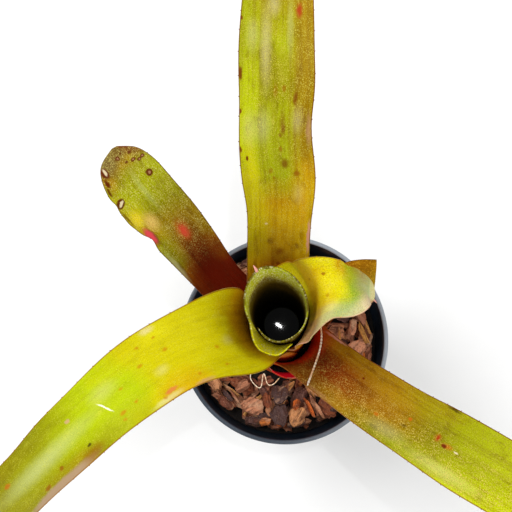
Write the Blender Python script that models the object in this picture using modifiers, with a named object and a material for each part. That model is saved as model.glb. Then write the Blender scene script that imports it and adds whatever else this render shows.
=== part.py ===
"""A potted bromeliad: strap leaves rolled into a leaning, water-holding tube, in a round
nursery pot full of bark. Metres, +Z up; the origin is the centre of the pot's underside.

The leaves are laid out in plant space, which has its origin where the tube's axis meets the
bark and its +Z along that axis. Leaf knots there are in millimetres and degrees."""

import math
import random
from dataclasses import dataclass

import bmesh
import bpy
import numpy as np
from mathutils import Matrix, Vector

MM = 0.001

# Pot
POT_HEIGHT = 0.100
POT_RADIUS = 0.060
RIM_WIDTH = 0.0024
RIM_DEPTH = 0.008
WALL = 0.0013
FLOOR = 0.002
FOOT_RADIUS = 0.0405
HEEL_HEIGHT = 0.003
POT_STEPS = 48
DRAIN_HOLES = 8
DRAIN_RADIUS = 0.004
DRAIN_REACH = 0.029

# Clearance kept between pieces that touch on the real plant
GAP = 0.0003

# Bark mix
BARK_HEIGHT = 0.086
BARK_SEED = 7
CHIP_COUNT = 76
CHIP_LENGTH = (0.009, 0.017)
CHIP_BREADTH = (0.006, 0.011)
CHIP_THICKNESS = (0.0030, 0.0048)
CHIP_TILT = 24
CHIP_SINK = (-0.0020, 0.0015)
CHIP_CUT = 0.72
CLEAR_OF_STEM = 0.019

# The plant's tube, which leans to the north-west out of the bark
SOIL_HEIGHT = 0.088
LEAN_ANGLE = math.radians(4.7)
LEAN_AZIMUTH = math.radians(133.5)

# Tube of nested sheaths, in millimetres of plant space
CORE_RADIUS = 7.9
CORE_FLARE = 0.042
LAYER_PITCH = 1.4
LAYER_DROP = 3.4
INNER_BASE = 14.0
LEAF_THICKNESS = 0.8
LEAF_COLUMNS = 12
FOOT_WRAP = 104
SHEATH_ROW_LENGTH = 15
SHORT_OF_BEND = 8
OUTWARD_HEADING = 0.3

# The blades' waved margins, by travel from the leaf's foot
RIPPLE_FROM = 60
RIPPLE_GROWTH = 40
RIPPLE_LENGTH = 7.5
TIP_ROWS = (0.55, 0.22)

# Points on the margins, as (base, length, lean toward the leaf's end)
TOOTH = (1.8, 0.8, 0.6)
APEX_SPINE = (1.6, 1.8, 3.0)

# The centre leaf's roll
ROLL_START = -140
ROLL_END = 292
ROLL_COLUMNS = 32
ROLL_ROWS = 9
MOUTH_HEIGHT = 111
MOUTH_SLANT = 15
MOUTH_HIGH_SIDE = 118
APEX_AZIMUTH = 115
APEX_RISE = 4
LIP_FLARE = 5.8
INNER_FLARE = 1.1
HIGH_FLARE = 1.3

# Threads torn from the margins: rows of leaf 5 that one crosses, and the knots of the
# other as (reach, azimuth, height)
STRAND_ROWS = (4.35, 6.65)
STRAND_RADIUS = 0.5
LOOP_RADIUS = 0.4
LOOP_KNOTS = [
    (24.6, -133, 12), (29, -131.5, 12.5), (31.5, -127, 13), (33.5, -113.5, 13.5),
    (30, -114, 13.5), (24.5, -119, 13), (23.7, -117, 12.5), (26.5, -112.5, 12.5),
    (29.8, -107.5, 13), (28, -101, 13), (24.4, -97, 13), (23.6, -95, 13)]

# Stem, roots and water
HOLE_GAP = 0.7
WATER_LEVEL = 58
STEM_FOOT = -52
ROOT_COUNT = 7
ROOT_RADIUS = 1.3
ROOT_BEND = [(8, -26), (12, -29), (14.2, -35), (14.4, -42), (13.6, -48)]


@dataclass
class Leaf:
    """A strap leaf: it clasps the tube up to a height and then follows its blade's knots.

    The clasp is its half width where it leaves the tube. A knot is (reach from the tube's
    axis, height, azimuth, half width, trough radius, roll), and a roll lifts the right
    margin, seen from the tube. The spine is how far its point stands off the blade's end."""

    name: str
    colour: tuple
    layer: float
    clasp: float
    rises_to: float
    blade: list
    has_tip: bool = True
    spine: tuple = (0, 0, 0)
    wave: float = 1.0
    row_length: float = 9.0
    rows_per_tooth: int = 2


LEAVES = [
    Leaf("leaf_2_east", (0.55, 0.48, 0.03), 2.3, 27, 80, spine=(2.3, -2, -1.4), wave=0.6,
         row_length=5, blade=[
             (15.3, 87, 27, 24.5, 24.3, 3),
             (16.4, 92.6, 23.1, 21.1, 27.7, 2),
             (17.9, 100.4, 20.9, 20.4, 30.5, 5),
             (19.5, 112.1, 18.4, 19.1, 26.4, 6),
             (24.4, 114.2, 18.3, 14.8, 22.3, 11),
             (31.2, 112.8, 12.1, 13.1, 24.8, 1),
             (38.2, 109.8, 14.4, 9.5, 25.2, -5),
             (41.8, 99.7, 15.5, 7, 25.1, -7),
             (44.3, 88.4, 13.4, 7, 23.7, -7),
             (46.3, 83.9, 10.6, 1, 22.4, -3)]),
    Leaf("leaf_3_southwest", (0.50, 0.52, 0.03), 3.3, 20, 72, blade=[
        (18, 82, -152, 19.5, 19, 0),
        (23.2, 93.5, -153.5, 25, 24, 0),
        (30.5, 102.5, -156, 22.3, 30, 0),
        (40.5, 110.5, -156.6, 18.5, 36, 0),
        (53.7, 117.2, -155.2, 17.2, 45, 0),
        (68.7, 122, -152.3, 16.8, 60, 0),
        (83.7, 123.4, -150.1, 15.9, 60, 0),
        (98, 121.2, -148.4, 15, 50, 0),
        (127, 109.2, -146.3, 14.3, 40, 0),
        (164, 86.5, -145.2, 13.3, 36, 0),
        (187, 69.5, -145, 10.5, 34, 0),
        (201, 58.5, -145, 6.5, 34, 0),
        (209, 52, -145, 1, 34, 0)]),
    Leaf("leaf_4_north", (0.46, 0.47, 0.05), 4.3, 25, 54, blade=[
        (18.6, 66, 93, 18.5, 19, 0),
        (22.2, 77, 92.5, 16.5, 26, 0),
        (27.5, 87, 91.5, 15.5, 34, 0),
        (34.5, 100.4, 90.2, 14.9, 40, 0),
        (44, 117.5, 88.8, 14.7, 46, 0),
        (54, 131.5, 88.8, 16.6, 50, 0),
        (63.5, 142, 90.1, 16, 50, 0),
        (74, 150.5, 90.1, 15.2, 50, 0),
        (85, 156.4, 89.2, 16.2, 50, 0),
        (97, 160.2, 89.5, 16.1, 46, 0),
        (123, 162.2, 89.2, 15.6, 40, 0),
        (158, 154, 89.2, 13.6, 36, 0),
        (179, 146, 89.1, 10.3, 34, 0),
        (193, 140, 89.2, 6, 34, 0),
        (200, 137, 89.2, 1, 34, 0)]),
    Leaf("leaf_5_southeast", (0.34, 0.20, 0.03), 5.3, 26, 28, blade=[
        (18, 37, -40.2, 18, 19, 0),
        (22, 45.8, -41.3, 15.8, 26, 0),
        (29.3, 53.4, -42.4, 15.2, 34, 0),
        (41.2, 63, -41.9, 15, 42, 0),
        (54.6, 74.2, -41.8, 15, 50, 0),
        (86.7, 103.1, -40, 15.4, 50, 0),
        (102.5, 115.8, -39.3, 16, 46, 0),
        (115.4, 123.1, -38.6, 15.6, 42, 0),
        (128.4, 126.2, -38, 14.9, 40, 0),
        (141.4, 124.9, -37.5, 13.2, 38, 0),
        (155.4, 119.1, -36.9, 9.9, 36, 0),
        (164.5, 114.2, -36.6, 6, 36, 0),
        (169.5, 111.3, -36.4, 1, 36, 0)]),
    Leaf("leaf_6_northwest", (0.36, 0.30, 0.05), 6.3, 26, 13, blade=[
        (20, 21.7, 141.6, 17, 19, 0),
        (24.4, 32.7, 143.2, 14, 26, 0),
        (32.6, 42.6, 143.7, 12.3, 34, 0),
        (41.7, 50.5, 142.7, 12.2, 40, 0),
        (51.3, 60.3, 140.7, 13, 44, 0),
        (61.4, 71.2, 138.9, 14.2, 48, 0),
        (71.5, 81.1, 138.1, 15, 50, 0),
        (81.6, 89, 138.1, 15.4, 50, 0),
        (90.2, 93.7, 137.8, 15.8, 46, 0),
        (98.7, 96.6, 136.8, 15.5, 42, 0),
        (107, 97.3, 135.9, 13.2, 40, 0),
        (113.5, 96.7, 135, 10, 40, 0),
        (118.4, 95.6, 134.2, 1.5, 40, 0)]),
    Leaf("leaf_7_stub", (0.33, 0.12, 0.02), 7.3, 26, 3, has_tip=False, blade=[
        (21, 11, 40, 15, 20, 0),
        (25.5, 19.3, 40.5, 12.6, 28, 0),
        (32.6, 27.9, 40, 12, 36, 0),
        (41, 34.6, 37, 12, 40, 0),
        (49.7, 39.7, 32.8, 12, 44, 0),
        (56.4, 43.3, 26.8, 12.1, 46, 0)]),
    Leaf("leaf_8_old_sheath", (0.42, 0.02, 0.03), 8.3, 26, 0, has_tip=False,
         rows_per_tooth=0, blade=[
             (21, 6, -93, 17, 21, 0),
             (21.6, 10.5, -94, 11, 22, 0),
             (22.3, 15, -96, 5, 24, 0)]),
]


def start_scene():
    """Empty the scene and make the collections for the parts and the cutters."""
    for old in list(bpy.data.objects):
        bpy.data.objects.remove(old)
    parts = bpy.data.collections.new("potted_bromeliad")
    cutters = bpy.data.collections.new("cutters")
    for collection in (parts, cutters):
        bpy.context.scene.collection.children.link(collection)
    return parts, cutters


def principled(name, colour, roughness, metallic=0.0, transmission=0.0):
    material = bpy.data.materials.new(name)
    material.use_nodes = True
    shader = material.node_tree.nodes["Principled BSDF"]
    shader.inputs["Base Color"].default_value = (*colour, 1.0)
    shader.inputs["Roughness"].default_value = roughness
    shader.inputs["Metallic"].default_value = metallic
    shader.inputs["Transmission Weight"].default_value = transmission
    return material


def object_from_bmesh(name, bm, collection, material=None):
    mesh = bpy.data.meshes.new(name)
    bm.to_mesh(mesh)
    bm.free()
    piece = bpy.data.objects.new(name, mesh)
    collection.objects.link(piece)
    if material:
        mesh.materials.append(material)
    return piece


def smooth_faces(piece, angle=35):
    piece.data.shade_smooth()
    piece.data.set_sharp_from_angle(angle=math.radians(angle))


def turned(name, profile, collection, material=None, steps=POT_STEPS):
    """Turn an (x, z) profile about Z; it runs down the outer side and back up the inner."""
    bm = bmesh.new()
    points = [bm.verts.new((x, 0.0, z)) for x, z in profile]
    closing = [] if profile[0][0] == 0.0 else [(points[-1], points[0])]
    for a, b in list(zip(points, points[1:])) + closing:
        if a.co.x > 0.0 or b.co.x > 0.0:
            bm.edges.new((a, b))
    piece = object_from_bmesh(name, bm, collection, material)
    screw = piece.modifiers.new("Turn", "SCREW")
    screw.steps = steps
    screw.render_steps = steps
    screw.use_merge_vertices = True
    screw.merge_threshold = 0.00001
    return piece


def tube_along(name, points, radius, collection, material, sides=2):
    """A capped round fibre along a poly line."""
    curve = bpy.data.curves.new(name, "CURVE")
    curve.dimensions = "3D"
    curve.bevel_depth = radius
    curve.bevel_resolution = sides
    curve.use_fill_caps = True
    spline = curve.splines.new("POLY")
    spline.points.add(len(points) - 1)
    for point, position in zip(spline.points, points):
        point.co = (*position, 1.0)
    curve.materials.append(material)
    piece = bpy.data.objects.new(name, curve)
    collection.objects.link(piece)
    return piece


def hide_cutter(cutter):
    cutter.hide_render = True
    cutter.display_type = "WIRE"


def cut(piece, cutter, solver="EXACT"):
    boolean = piece.modifiers.new("Cut", "BOOLEAN")
    boolean.operation = "DIFFERENCE"
    boolean.object = cutter
    boolean.solver = solver


def apply_modifiers(piece):
    """Replace the piece's mesh with its evaluated one."""
    bpy.context.view_layer.update()
    evaluated = piece.evaluated_get(bpy.context.evaluated_depsgraph_get())
    mesh = bpy.data.meshes.new_from_object(evaluated)
    piece.modifiers.clear()
    piece.data = mesh


def fuse(piece, extras, collection_name):
    """Union a list of loose objects into a piece and remove them."""
    group = bpy.data.collections.new(collection_name)
    for extra in extras:
        group.objects.link(extra)
    union = piece.modifiers.new("Fuse", "BOOLEAN")
    union.operation = "UNION"
    union.operand_type = "COLLECTION"
    union.collection = group
    apply_modifiers(piece)
    for extra in extras:
        bpy.data.objects.remove(extra)
    bpy.data.collections.remove(group)


def keep_main_shell(piece):
    """Drop loose scraps, and fill hollows that fusing has sealed."""
    bm = bmesh.new()
    bm.from_mesh(piece.data)
    bm.verts.ensure_lookup_table()
    unseen = set(bm.verts)
    shells = []
    while unseen:
        shell = set()
        queue = [next(iter(unseen))]
        while queue:
            vert = queue.pop()
            if vert in shell:
                continue
            shell.add(vert)
            queue.extend(edge.other_vert(vert) for edge in vert.link_edges)
        unseen -= shell
        shells.append(shell)
    main = max(shells, key=len)
    doomed = [vert for vert in bm.verts if vert not in main]
    bmesh.ops.delete(bm, geom=doomed, context="VERTS")
    bm.to_mesh(piece.data)
    bm.free()


# Pot

def wall_radius(height):
    """Outer radius of the pot's tapered wall, without the rim."""
    top = POT_RADIUS - RIM_WIDTH + WALL
    share = (height - HEEL_HEIGHT) / (POT_HEIGHT - HEEL_HEIGHT)
    heel = FOOT_RADIUS + 0.0015
    return heel + share * (top - heel)


def make_pot(parts, cutters):
    edge = 0.0005
    rim_foot = POT_HEIGHT - RIM_DEPTH
    profile = [
        (POT_RADIUS - edge, POT_HEIGHT),
        (POT_RADIUS, POT_HEIGHT - edge),
        (POT_RADIUS - edge, rim_foot),
        (wall_radius(rim_foot), rim_foot - edge),
        (wall_radius(HEEL_HEIGHT), HEEL_HEIGHT),
        (FOOT_RADIUS, 0.0),
        (0.0, 0.0),
        (0.0, FLOOR),
        (FOOT_RADIUS - WALL, FLOOR),
        (wall_radius(HEEL_HEIGHT) - WALL, HEEL_HEIGHT + FLOOR),
        (POT_RADIUS - RIM_WIDTH - edge, rim_foot),
        (POT_RADIUS - RIM_WIDTH, POT_HEIGHT - edge),
        (POT_RADIUS - RIM_WIDTH + edge, POT_HEIGHT),
    ]
    material = principled("pot_plastic", (0.012, 0.014, 0.018), 0.4)
    pot = turned("pot", profile, parts, material)
    bm = bmesh.new()
    for index in range(DRAIN_HOLES):
        angle = 2 * math.pi * index / DRAIN_HOLES
        place = Matrix.Translation((DRAIN_REACH * math.cos(angle),
                                    DRAIN_REACH * math.sin(angle), FLOOR / 2))
        bmesh.ops.create_cone(bm, cap_ends=True, segments=12, radius1=DRAIN_RADIUS,
                              radius2=DRAIN_RADIUS, depth=3 * FLOOR, matrix=place)
    cutter = object_from_bmesh("drain_cutter", bm, cutters)
    hide_cutter(cutter)
    cut(pot, cutter)
    apply_modifiers(pot)
    smooth_faces(pot)
    return pot


# Bark mix

def bark_radius(height):
    """Radius of the mix, which fills the pot to within the gap."""
    rim_foot = POT_HEIGHT - RIM_DEPTH
    low_radius = wall_radius(HEEL_HEIGHT) - WALL
    low_height = HEEL_HEIGHT + FLOOR
    share = (height - low_height) / (rim_foot - low_height)
    top_radius = POT_RADIUS - RIM_WIDTH - 0.0005
    return low_radius + share * (top_radius - low_radius) - 2 * GAP


def bark_chip(index, dice, material, collection):
    """One angular chip, sunk at a slant into the top of the mix."""
    long = dice.uniform(*CHIP_LENGTH)
    broad = dice.uniform(*CHIP_BREADTH)
    thick = dice.uniform(*CHIP_THICKNESS)
    farthest = bark_radius(BARK_HEIGHT) - math.hypot(long, broad) / 2
    reach = math.sqrt(dice.uniform(CLEAR_OF_STEM**2, farthest**2))
    bearing = dice.uniform(0.0, 2 * math.pi)
    height = BARK_HEIGHT + 0.2 * thick + dice.uniform(*CHIP_SINK)
    bm = bmesh.new()
    bmesh.ops.create_cube(bm, size=1.0)
    for vert in bm.verts:
        jitter = [dice.uniform(CHIP_CUT, 1.0) for _ in range(3)]
        vert.co = Vector((vert.co.x * long * jitter[0], vert.co.y * broad * jitter[1],
                          vert.co.z * thick * jitter[2]))
    turn = Matrix.Rotation(dice.uniform(0.0, math.pi), 4, "Z")
    tilt = Matrix.Rotation(math.radians(dice.uniform(-CHIP_TILT, CHIP_TILT)), 4,
                           Vector((dice.uniform(-1, 1), dice.uniform(-1, 1), 0.0)))
    place = Matrix.Translation((reach * math.cos(bearing), reach * math.sin(bearing), height))
    bm.transform(place @ tilt @ turn)
    return object_from_bmesh(f"chip_{index}", bm, collection, material)


def make_bark(parts, cutters, axis):
    low = FLOOR + GAP
    profile = [
        (0.0, BARK_HEIGHT),
        (bark_radius(BARK_HEIGHT), BARK_HEIGHT),
        (bark_radius(HEEL_HEIGHT + FLOOR), HEEL_HEIGHT + FLOOR),
        (FOOT_RADIUS - WALL - 2 * GAP, low),
        (0.0, low),
    ]
    material = principled("bark", (0.16, 0.075, 0.04), 0.85)
    bark = turned("bark_mix", profile, parts, material)
    dice = random.Random(BARK_SEED)
    chips = [bark_chip(index, dice, material, cutters) for index in range(CHIP_COUNT)]
    fuse(bark, chips, "chips")
    hole = turned("root_hole", hole_profile(), cutters, steps=40)
    hole.parent = axis
    hide_cutter(hole)
    cut(bark, hole, "MANIFOLD")
    apply_modifiers(bark)
    keep_main_shell(bark)
    return bark


# Sheaths: sizes in millimetres of plant space

def tube_radius(height, layer):
    """Inner radius of a sheath that has so many layers inside it."""
    return CORE_RADIUS + CORE_FLARE * height + LAYER_PITCH * layer


def base_height(layer):
    return INNER_BASE - LAYER_DROP * layer


def stem_radius(height):
    """The stem widens downward, so each sheath's foot stands just off its flank."""
    layer = (INNER_BASE - height) / LAYER_DROP
    return tube_radius(height, layer) - GAP / MM - 0.05


def hole_profile():
    """The plain hole that the sheaths, the stem and its roots stand in."""
    outer = max(leaf.layer for leaf in LEAVES)
    wide = tube_radius(0, outer) + LEAF_THICKNESS + HOLE_GAP
    shoulder = base_height(outer) - 3
    foot = STEM_FOOT - 2
    profile = [(0, 30), (wide, 30), (wide, shoulder), (wide - 3, foot), (0, foot)]
    return [(x * MM, z * MM) for x, z in profile]


def make_stem(parts, axis):
    """The short stem, with roots that run down beside its foot."""
    outer = max(leaf.layer for leaf in LEAVES)
    low = base_height(outer) - 2
    profile = [(0, INNER_BASE + 1.5), (5, INNER_BASE + 1.0),
               (stem_radius(INNER_BASE), INNER_BASE - 0.6), (stem_radius(low), low),
               (stem_radius(low) - 1.5, low - 4), (9, -34), (6, STEM_FOOT + 3), (0, STEM_FOOT)]
    material = principled("stem", (0.20, 0.13, 0.06), 0.7)
    stem = turned("rootstock", [(x * MM, z * MM) for x, z in profile], parts, material, 40)
    apply_modifiers(stem)
    roots = []
    for index in range(ROOT_COUNT):
        bearing = 2 * math.pi * (index + 0.3) / ROOT_COUNT
        path = [Vector((r * math.cos(bearing), r * math.sin(bearing), z)) * MM
                for r, z in ROOT_BEND]
        root = tube_along(f"root_{index}", path, ROOT_RADIUS * MM, parts, material, 0)
        roots.append(mesh_from_curve(root, parts))
    fuse(stem, roots, "roots")
    keep_main_shell(stem)
    smooth_faces(stem)
    stem.parent = axis
    return stem


def mesh_from_curve(curve_object, collection):
    """A welded mesh copy of a curve, which takes its place."""
    bpy.context.view_layer.update()
    evaluated = curve_object.evaluated_get(bpy.context.evaluated_depsgraph_get())
    mesh = bpy.data.meshes.new_from_object(evaluated)
    bm = bmesh.new()
    bm.from_mesh(mesh)
    bmesh.ops.remove_doubles(bm, verts=bm.verts, dist=0.00001)
    bmesh.ops.recalc_face_normals(bm, faces=bm.faces)
    bm.to_mesh(mesh)
    bm.free()
    name = curve_object.name
    copy = bpy.data.objects.new(name + "_mesh", mesh)
    copy.matrix_world = curve_object.matrix_world
    bpy.data.objects.remove(curve_object)
    copy.name = name
    collection.objects.link(copy)
    return copy


# Leaves

def smooth_knots(knots, rounds=4):
    """Cubic B-spline through a list of knots, by subdivision; the ends stay put."""
    for _ in range(rounds):
        middles = (knots[:-1] + knots[1:]) / 2
        inner = (knots[:-2] + 6 * knots[1:-1] + knots[2:]) / 8
        finer = np.empty((2 * len(knots) - 1, knots.shape[1]))
        finer[0::2] = np.vstack([knots[:1], inner, knots[-1:]])
        finer[1::2] = middles
        knots = finer
    return knots


def leaf_knots(leaf):
    """Rows of x, y, z, half width, section curvature and roll, from foot to tip."""
    azimuth = leaf.blade[0][2]
    foot = base_height(leaf.layer)
    clasping = []
    for share in np.linspace(0.0, 1.0, 5):
        height = foot + share * (leaf.rises_to - foot)
        radius = tube_radius(height, leaf.layer)
        half_width = math.radians(FOOT_WRAP) * radius * (1 - share) + leaf.clasp * share
        clasping.append((radius, height, azimuth, half_width, radius, 0))
    rows = []
    for reach, height, bearing, half_width, trough, roll in clasping + leaf.blade:
        turn = math.radians(bearing)
        rows.append((reach * math.cos(turn), reach * math.sin(turn), height,
                     half_width, 1 / trough, math.radians(roll)))
    return np.array(rows, dtype=float)


def outward(point):
    """Level direction from the tube's axis to a point."""
    return Vector((point.x, point.y, 0.0)).normalized()


def sheath_row_count(leaf):
    """Few rows are enough where the sheath runs straight up the tube."""
    return max(2, round((leaf.rises_to - base_height(leaf.layer)) / SHEATH_ROW_LENGTH))


def leaf_rows(leaf):
    """The grid of points on the leaf's upper face, and its end point."""
    fine = smooth_knots(leaf_knots(leaf))
    steps = np.linalg.norm(np.diff(fine[:, :3], axis=0), axis=1)
    travel = np.concatenate([[0.0], np.cumsum(steps)])
    straight = max(6.0, leaf.rises_to - base_height(leaf.layer) - SHORT_OF_BEND)
    sheath = np.linspace(0.0, straight, sheath_row_count(leaf) + 1)
    blade_rows = round((travel[-1] - straight) / leaf.row_length)
    stations = np.append(sheath, np.linspace(straight, travel[-1], blade_rows + 1)[1:])
    if leaf.has_tip:
        near_tip = [travel[-1] - share * leaf.row_length for share in TIP_ROWS]
        stations = np.sort(np.append(stations, near_tip))
    sampled = np.array([np.interp(stations, travel, column) for column in fine.T]).T
    ahead = np.gradient(sampled[:, :3], stations, axis=0)
    lean_out = outward(Vector(fine[0][:3])) * OUTWARD_HEADING
    rows = []
    for index, (x, y, z, half_width, curvature, roll) in enumerate(sampled):
        along = Vector(ahead[index]).normalized()
        heading = (Vector((along.x, along.y, 0.0)) + lean_out).normalized()
        across = Vector((-heading.y, heading.x, 0.0))
        across = (across - across.dot(along) * along).normalized()
        under = across.cross(along)
        across, under = (across * math.cos(roll) + under * math.sin(roll),
                         under * math.cos(roll) - across * math.sin(roll))
        centre = Vector((x, y, z))
        row = []
        for column in range(LEAF_COLUMNS + 1):
            side = 2 * column / LEAF_COLUMNS - 1
            angle = side * half_width * curvature
            growth = max(0.0, min(1.0, (stations[index] - RIPPLE_FROM) / RIPPLE_GROWTH))
            ripple = (leaf.wave * growth * side**2 * min(1.0, half_width / 10)
                      * math.sin(stations[index] / RIPPLE_LENGTH + 2.2 * side + leaf.layer))
            row.append(centre + across * (math.sin(angle) / curvature)
                       - under * ((1 - math.cos(angle)) / curvature + ripple))
        rows.append(row)
    if not leaf.has_tip:
        return rows, None
    tip = Vector(sampled[-1][:3]) + Vector(leaf.spine)
    return rows[:-1], tip


def margin_triangle(bm, start, end, inner, forward, tooth):
    """The triangle on a margin's edge, split to carry a small tooth where one is due."""
    if not tooth:
        bm.faces.new((start, end, inner))
        return
    base, length, lean = tooth
    run = end.co - start.co
    half_base = base / 2 / run.length
    first = bm.verts.new(start.co + run * (0.5 - half_base))
    last = bm.verts.new(start.co + run * (0.5 + half_base))
    middle = (start.co + end.co) / 2
    away = middle - inner.co
    away = (away - away.project(run)).normalized()
    point = bm.verts.new(middle + away * length + forward * lean)
    bm.faces.new((start, first, inner))
    bm.faces.new((first, last, inner))
    bm.faces.new((last, end, inner))
    bm.faces.new((first, point, last))


def sheet_bmesh(rows, tip=None, toothed_rows=(), spine_column=None):
    """A triangulated sheet whose faces look down and away from the tube."""
    bm = bmesh.new()
    grid = [[bm.verts.new(point) for point in row] for row in rows]
    last = len(grid[0]) - 1
    for index, (low, high) in enumerate(zip(grid, grid[1:])):
        tooth = TOOTH if index in toothed_rows else None
        forward = (high[0].co - low[0].co).normalized()
        for column in range(last):
            a, b, c, d = low[column], low[column + 1], high[column + 1], high[column]
            if column == 0:
                margin_triangle(bm, d, a, c, forward, tooth)
                bm.faces.new((a, b, c))
            elif column == last - 1:
                margin_triangle(bm, b, c, a, forward, tooth)
                bm.faces.new((a, c, d))
            else:
                spine = index == len(grid) - 2 and column == spine_column
                bm.faces.new((a, b, c))
                margin_triangle(bm, c, d, a, outward(low[column].co), spine and APEX_SPINE)
    if tip:
        point = bm.verts.new(tip)
        for left, right in zip(grid[-1], grid[-1][1:]):
            bm.faces.new((left, right, point))
    return bm


def sheet_object(name, bm, colour, parts, axis):
    bmesh.ops.scale(bm, vec=(MM, MM, MM), verts=bm.verts)
    material = principled(name, colour, 0.45)
    sheet = object_from_bmesh(name, bm, parts, material)
    solidify = sheet.modifiers.new("Thickness", "SOLIDIFY")
    solidify.thickness = LEAF_THICKNESS * MM
    solidify.offset = 1.0
    sheet.parent = axis
    smooth_faces(sheet, 60)
    return sheet


def make_leaf(leaf, parts, axis):
    rows, tip = leaf_rows(leaf)
    toothed = set()
    if leaf.rows_per_tooth:
        first = sheath_row_count(leaf) + 2
        toothed = set(range(first, len(rows) - len(TIP_ROWS) - 1, leaf.rows_per_tooth))
    return sheet_object(leaf.name, sheet_bmesh(rows, tip, toothed), leaf.colour, parts, axis)


def mouth_height(azimuth):
    """Height of the tube's slanting mouth, with the leaf's tip at its high side."""
    slant = MOUTH_SLANT * math.cos(math.radians(azimuth - MOUTH_HIGH_SIDE))
    off_apex = (azimuth - APEX_AZIMUTH + 180) % 360 - 180
    apex = APEX_RISE * math.exp(-((off_apex / 22) ** 2))
    return MOUTH_HEIGHT + slant + apex


def ease(value):
    value = max(0.0, min(1.0, value))
    return value * value * (3 - 2 * value)


def rolled_rows():
    """The centre leaf: a sheet rolled more than once round, which winds outward."""
    rows = []
    foot = base_height(0)
    for step in range(ROLL_ROWS + 1):
        share = 1 - (1 - step / ROLL_ROWS) ** 1.6
        row = []
        for column in range(ROLL_COLUMNS + 1):
            bearing = ROLL_START + (ROLL_END - ROLL_START) * column / ROLL_COLUMNS
            turns = (bearing - ROLL_START) / 360
            top = mouth_height(bearing)
            lip = ease((bearing - 202) / 45) * (1 - 0.7 * ease((bearing - 262) / 30))
            top -= 3 * lip
            height = foot + share * (top - foot)
            near_top = ease((height - top + 14) / 14)
            inner_lip = ease((bearing - ROLL_START) / 30) * (1 - ease((bearing + 105) / 50))
            high_side = max(0.0, math.cos(math.radians(bearing - MOUTH_HIGH_SIDE)))
            flare = near_top * (LIP_FLARE * lip + INNER_FLARE * inner_lip
                                + HIGH_FLARE * high_side**2)
            radius = tube_radius(height, turns) + flare
            angle = math.radians(bearing)
            row.append(Vector((radius * math.cos(angle), radius * math.sin(angle), height)))
        rows.append(row)
    return rows


def make_centre_leaf(parts, axis):
    share = (APEX_AZIMUTH - ROLL_START) / (ROLL_END - ROLL_START)
    bm = sheet_bmesh(rolled_rows(), spine_column=round(share * ROLL_COLUMNS))
    return sheet_object("leaf_1_centre", bm, (0.30, 0.36, 0.05), parts, axis)


def make_water(parts, axis):
    """Rain water held in the tube, from the stem's top up to its level."""
    low = INNER_BASE + 2
    keep = GAP / MM + 0.2
    profile = [(0, WATER_LEVEL), (tube_radius(WATER_LEVEL, 0) - keep, WATER_LEVEL),
               (tube_radius(low, 0) - keep, low), (0, low)]
    material = principled("tank_water", (0.02, 0.025, 0.015), 0.02, transmission=0.6)
    water = turned("tank_water", [(x * MM, z * MM) for x, z in profile], parts, material, 24)
    water.parent = axis
    return water


def strand_over(leaf, first_row, last_row, lift):
    """Points just above a leaf's upper face, from its left margin to its right."""
    rows, _ = leaf_rows(leaf)
    points = []
    for column in range(LEAF_COLUMNS, -1, -1):
        place = first_row + (last_row - first_row) * (1 - column / LEAF_COLUMNS)
        low = int(place)
        near = rows[low][column]
        far = rows[low + 1][column]
        beside = rows[low][column - 1] if column else rows[low][1]
        up = (far - near).cross(beside - near).normalized()
        if up.z < 0:
            up.negate()
        points.append(near.lerp(far, place - low) + up * lift)
    return points


def make_fibres(parts, axis):
    """Pale threads torn from the margins: one over leaf 5, two loops on leaf 8."""
    material = principled("margin_fibre", (0.80, 0.62, 0.42), 0.6)
    carrier = next(leaf for leaf in LEAVES if leaf.name == "leaf_5_southeast")
    strand = strand_over(carrier, *STRAND_ROWS, STRAND_RADIUS + GAP / MM + 0.15)
    loops = [Vector((reach * math.cos(math.radians(bearing)),
                     reach * math.sin(math.radians(bearing)), height))
             for reach, bearing, height in LOOP_KNOTS]
    loops = [Vector(point) for point in smooth_knots(np.array(loops), 1)]
    pieces = []
    for name, points, radius in (("margin_strand", strand, STRAND_RADIUS),
                                 ("margin_loops", loops, LOOP_RADIUS)):
        path = [point * MM for point in points]
        pieces.append(tube_along(name, path, radius * MM, parts, material))
    for piece in pieces:
        piece.parent = axis
    return pieces


def main():
    parts, cutters = start_scene()
    axis = bpy.data.objects.new("plant_axis", None)
    parts.objects.link(axis)
    across_lean = Vector((-math.sin(LEAN_AZIMUTH), math.cos(LEAN_AZIMUTH), 0.0))
    axis.location = (0.0, 0.0, SOIL_HEIGHT)
    axis.rotation_euler = Matrix.Rotation(LEAN_ANGLE, 3, across_lean).to_euler()
    bpy.context.view_layer.update()
    make_pot(parts, cutters)
    make_bark(parts, cutters, axis)
    make_stem(parts, axis)
    make_centre_leaf(parts, axis)
    for leaf in LEAVES:
        make_leaf(leaf, parts, axis)
    make_water(parts, axis)
    make_fibres(parts, axis)


main()
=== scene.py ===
"""Looks of the potted bromeliad: finer leaves, bark chips, pot, water and fibres over the
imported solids, their materials, and a plain studio. Metres, +Z up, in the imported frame.

Plant space, as in the part's own source, has its origin where the tube's axis meets the
bark and its +Z along that axis. Leaf sizes there are in millimetres and degrees."""

import math
import random
from dataclasses import dataclass, field

import bmesh
import bpy
import numpy as np
from mathutils import Matrix, Vector, noise


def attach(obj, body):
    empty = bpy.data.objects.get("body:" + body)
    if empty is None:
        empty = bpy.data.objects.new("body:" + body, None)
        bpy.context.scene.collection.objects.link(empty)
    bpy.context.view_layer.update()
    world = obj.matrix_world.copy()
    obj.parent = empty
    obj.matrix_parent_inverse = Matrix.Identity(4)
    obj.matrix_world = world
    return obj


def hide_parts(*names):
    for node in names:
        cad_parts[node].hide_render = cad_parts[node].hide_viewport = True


MM = 0.001

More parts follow.
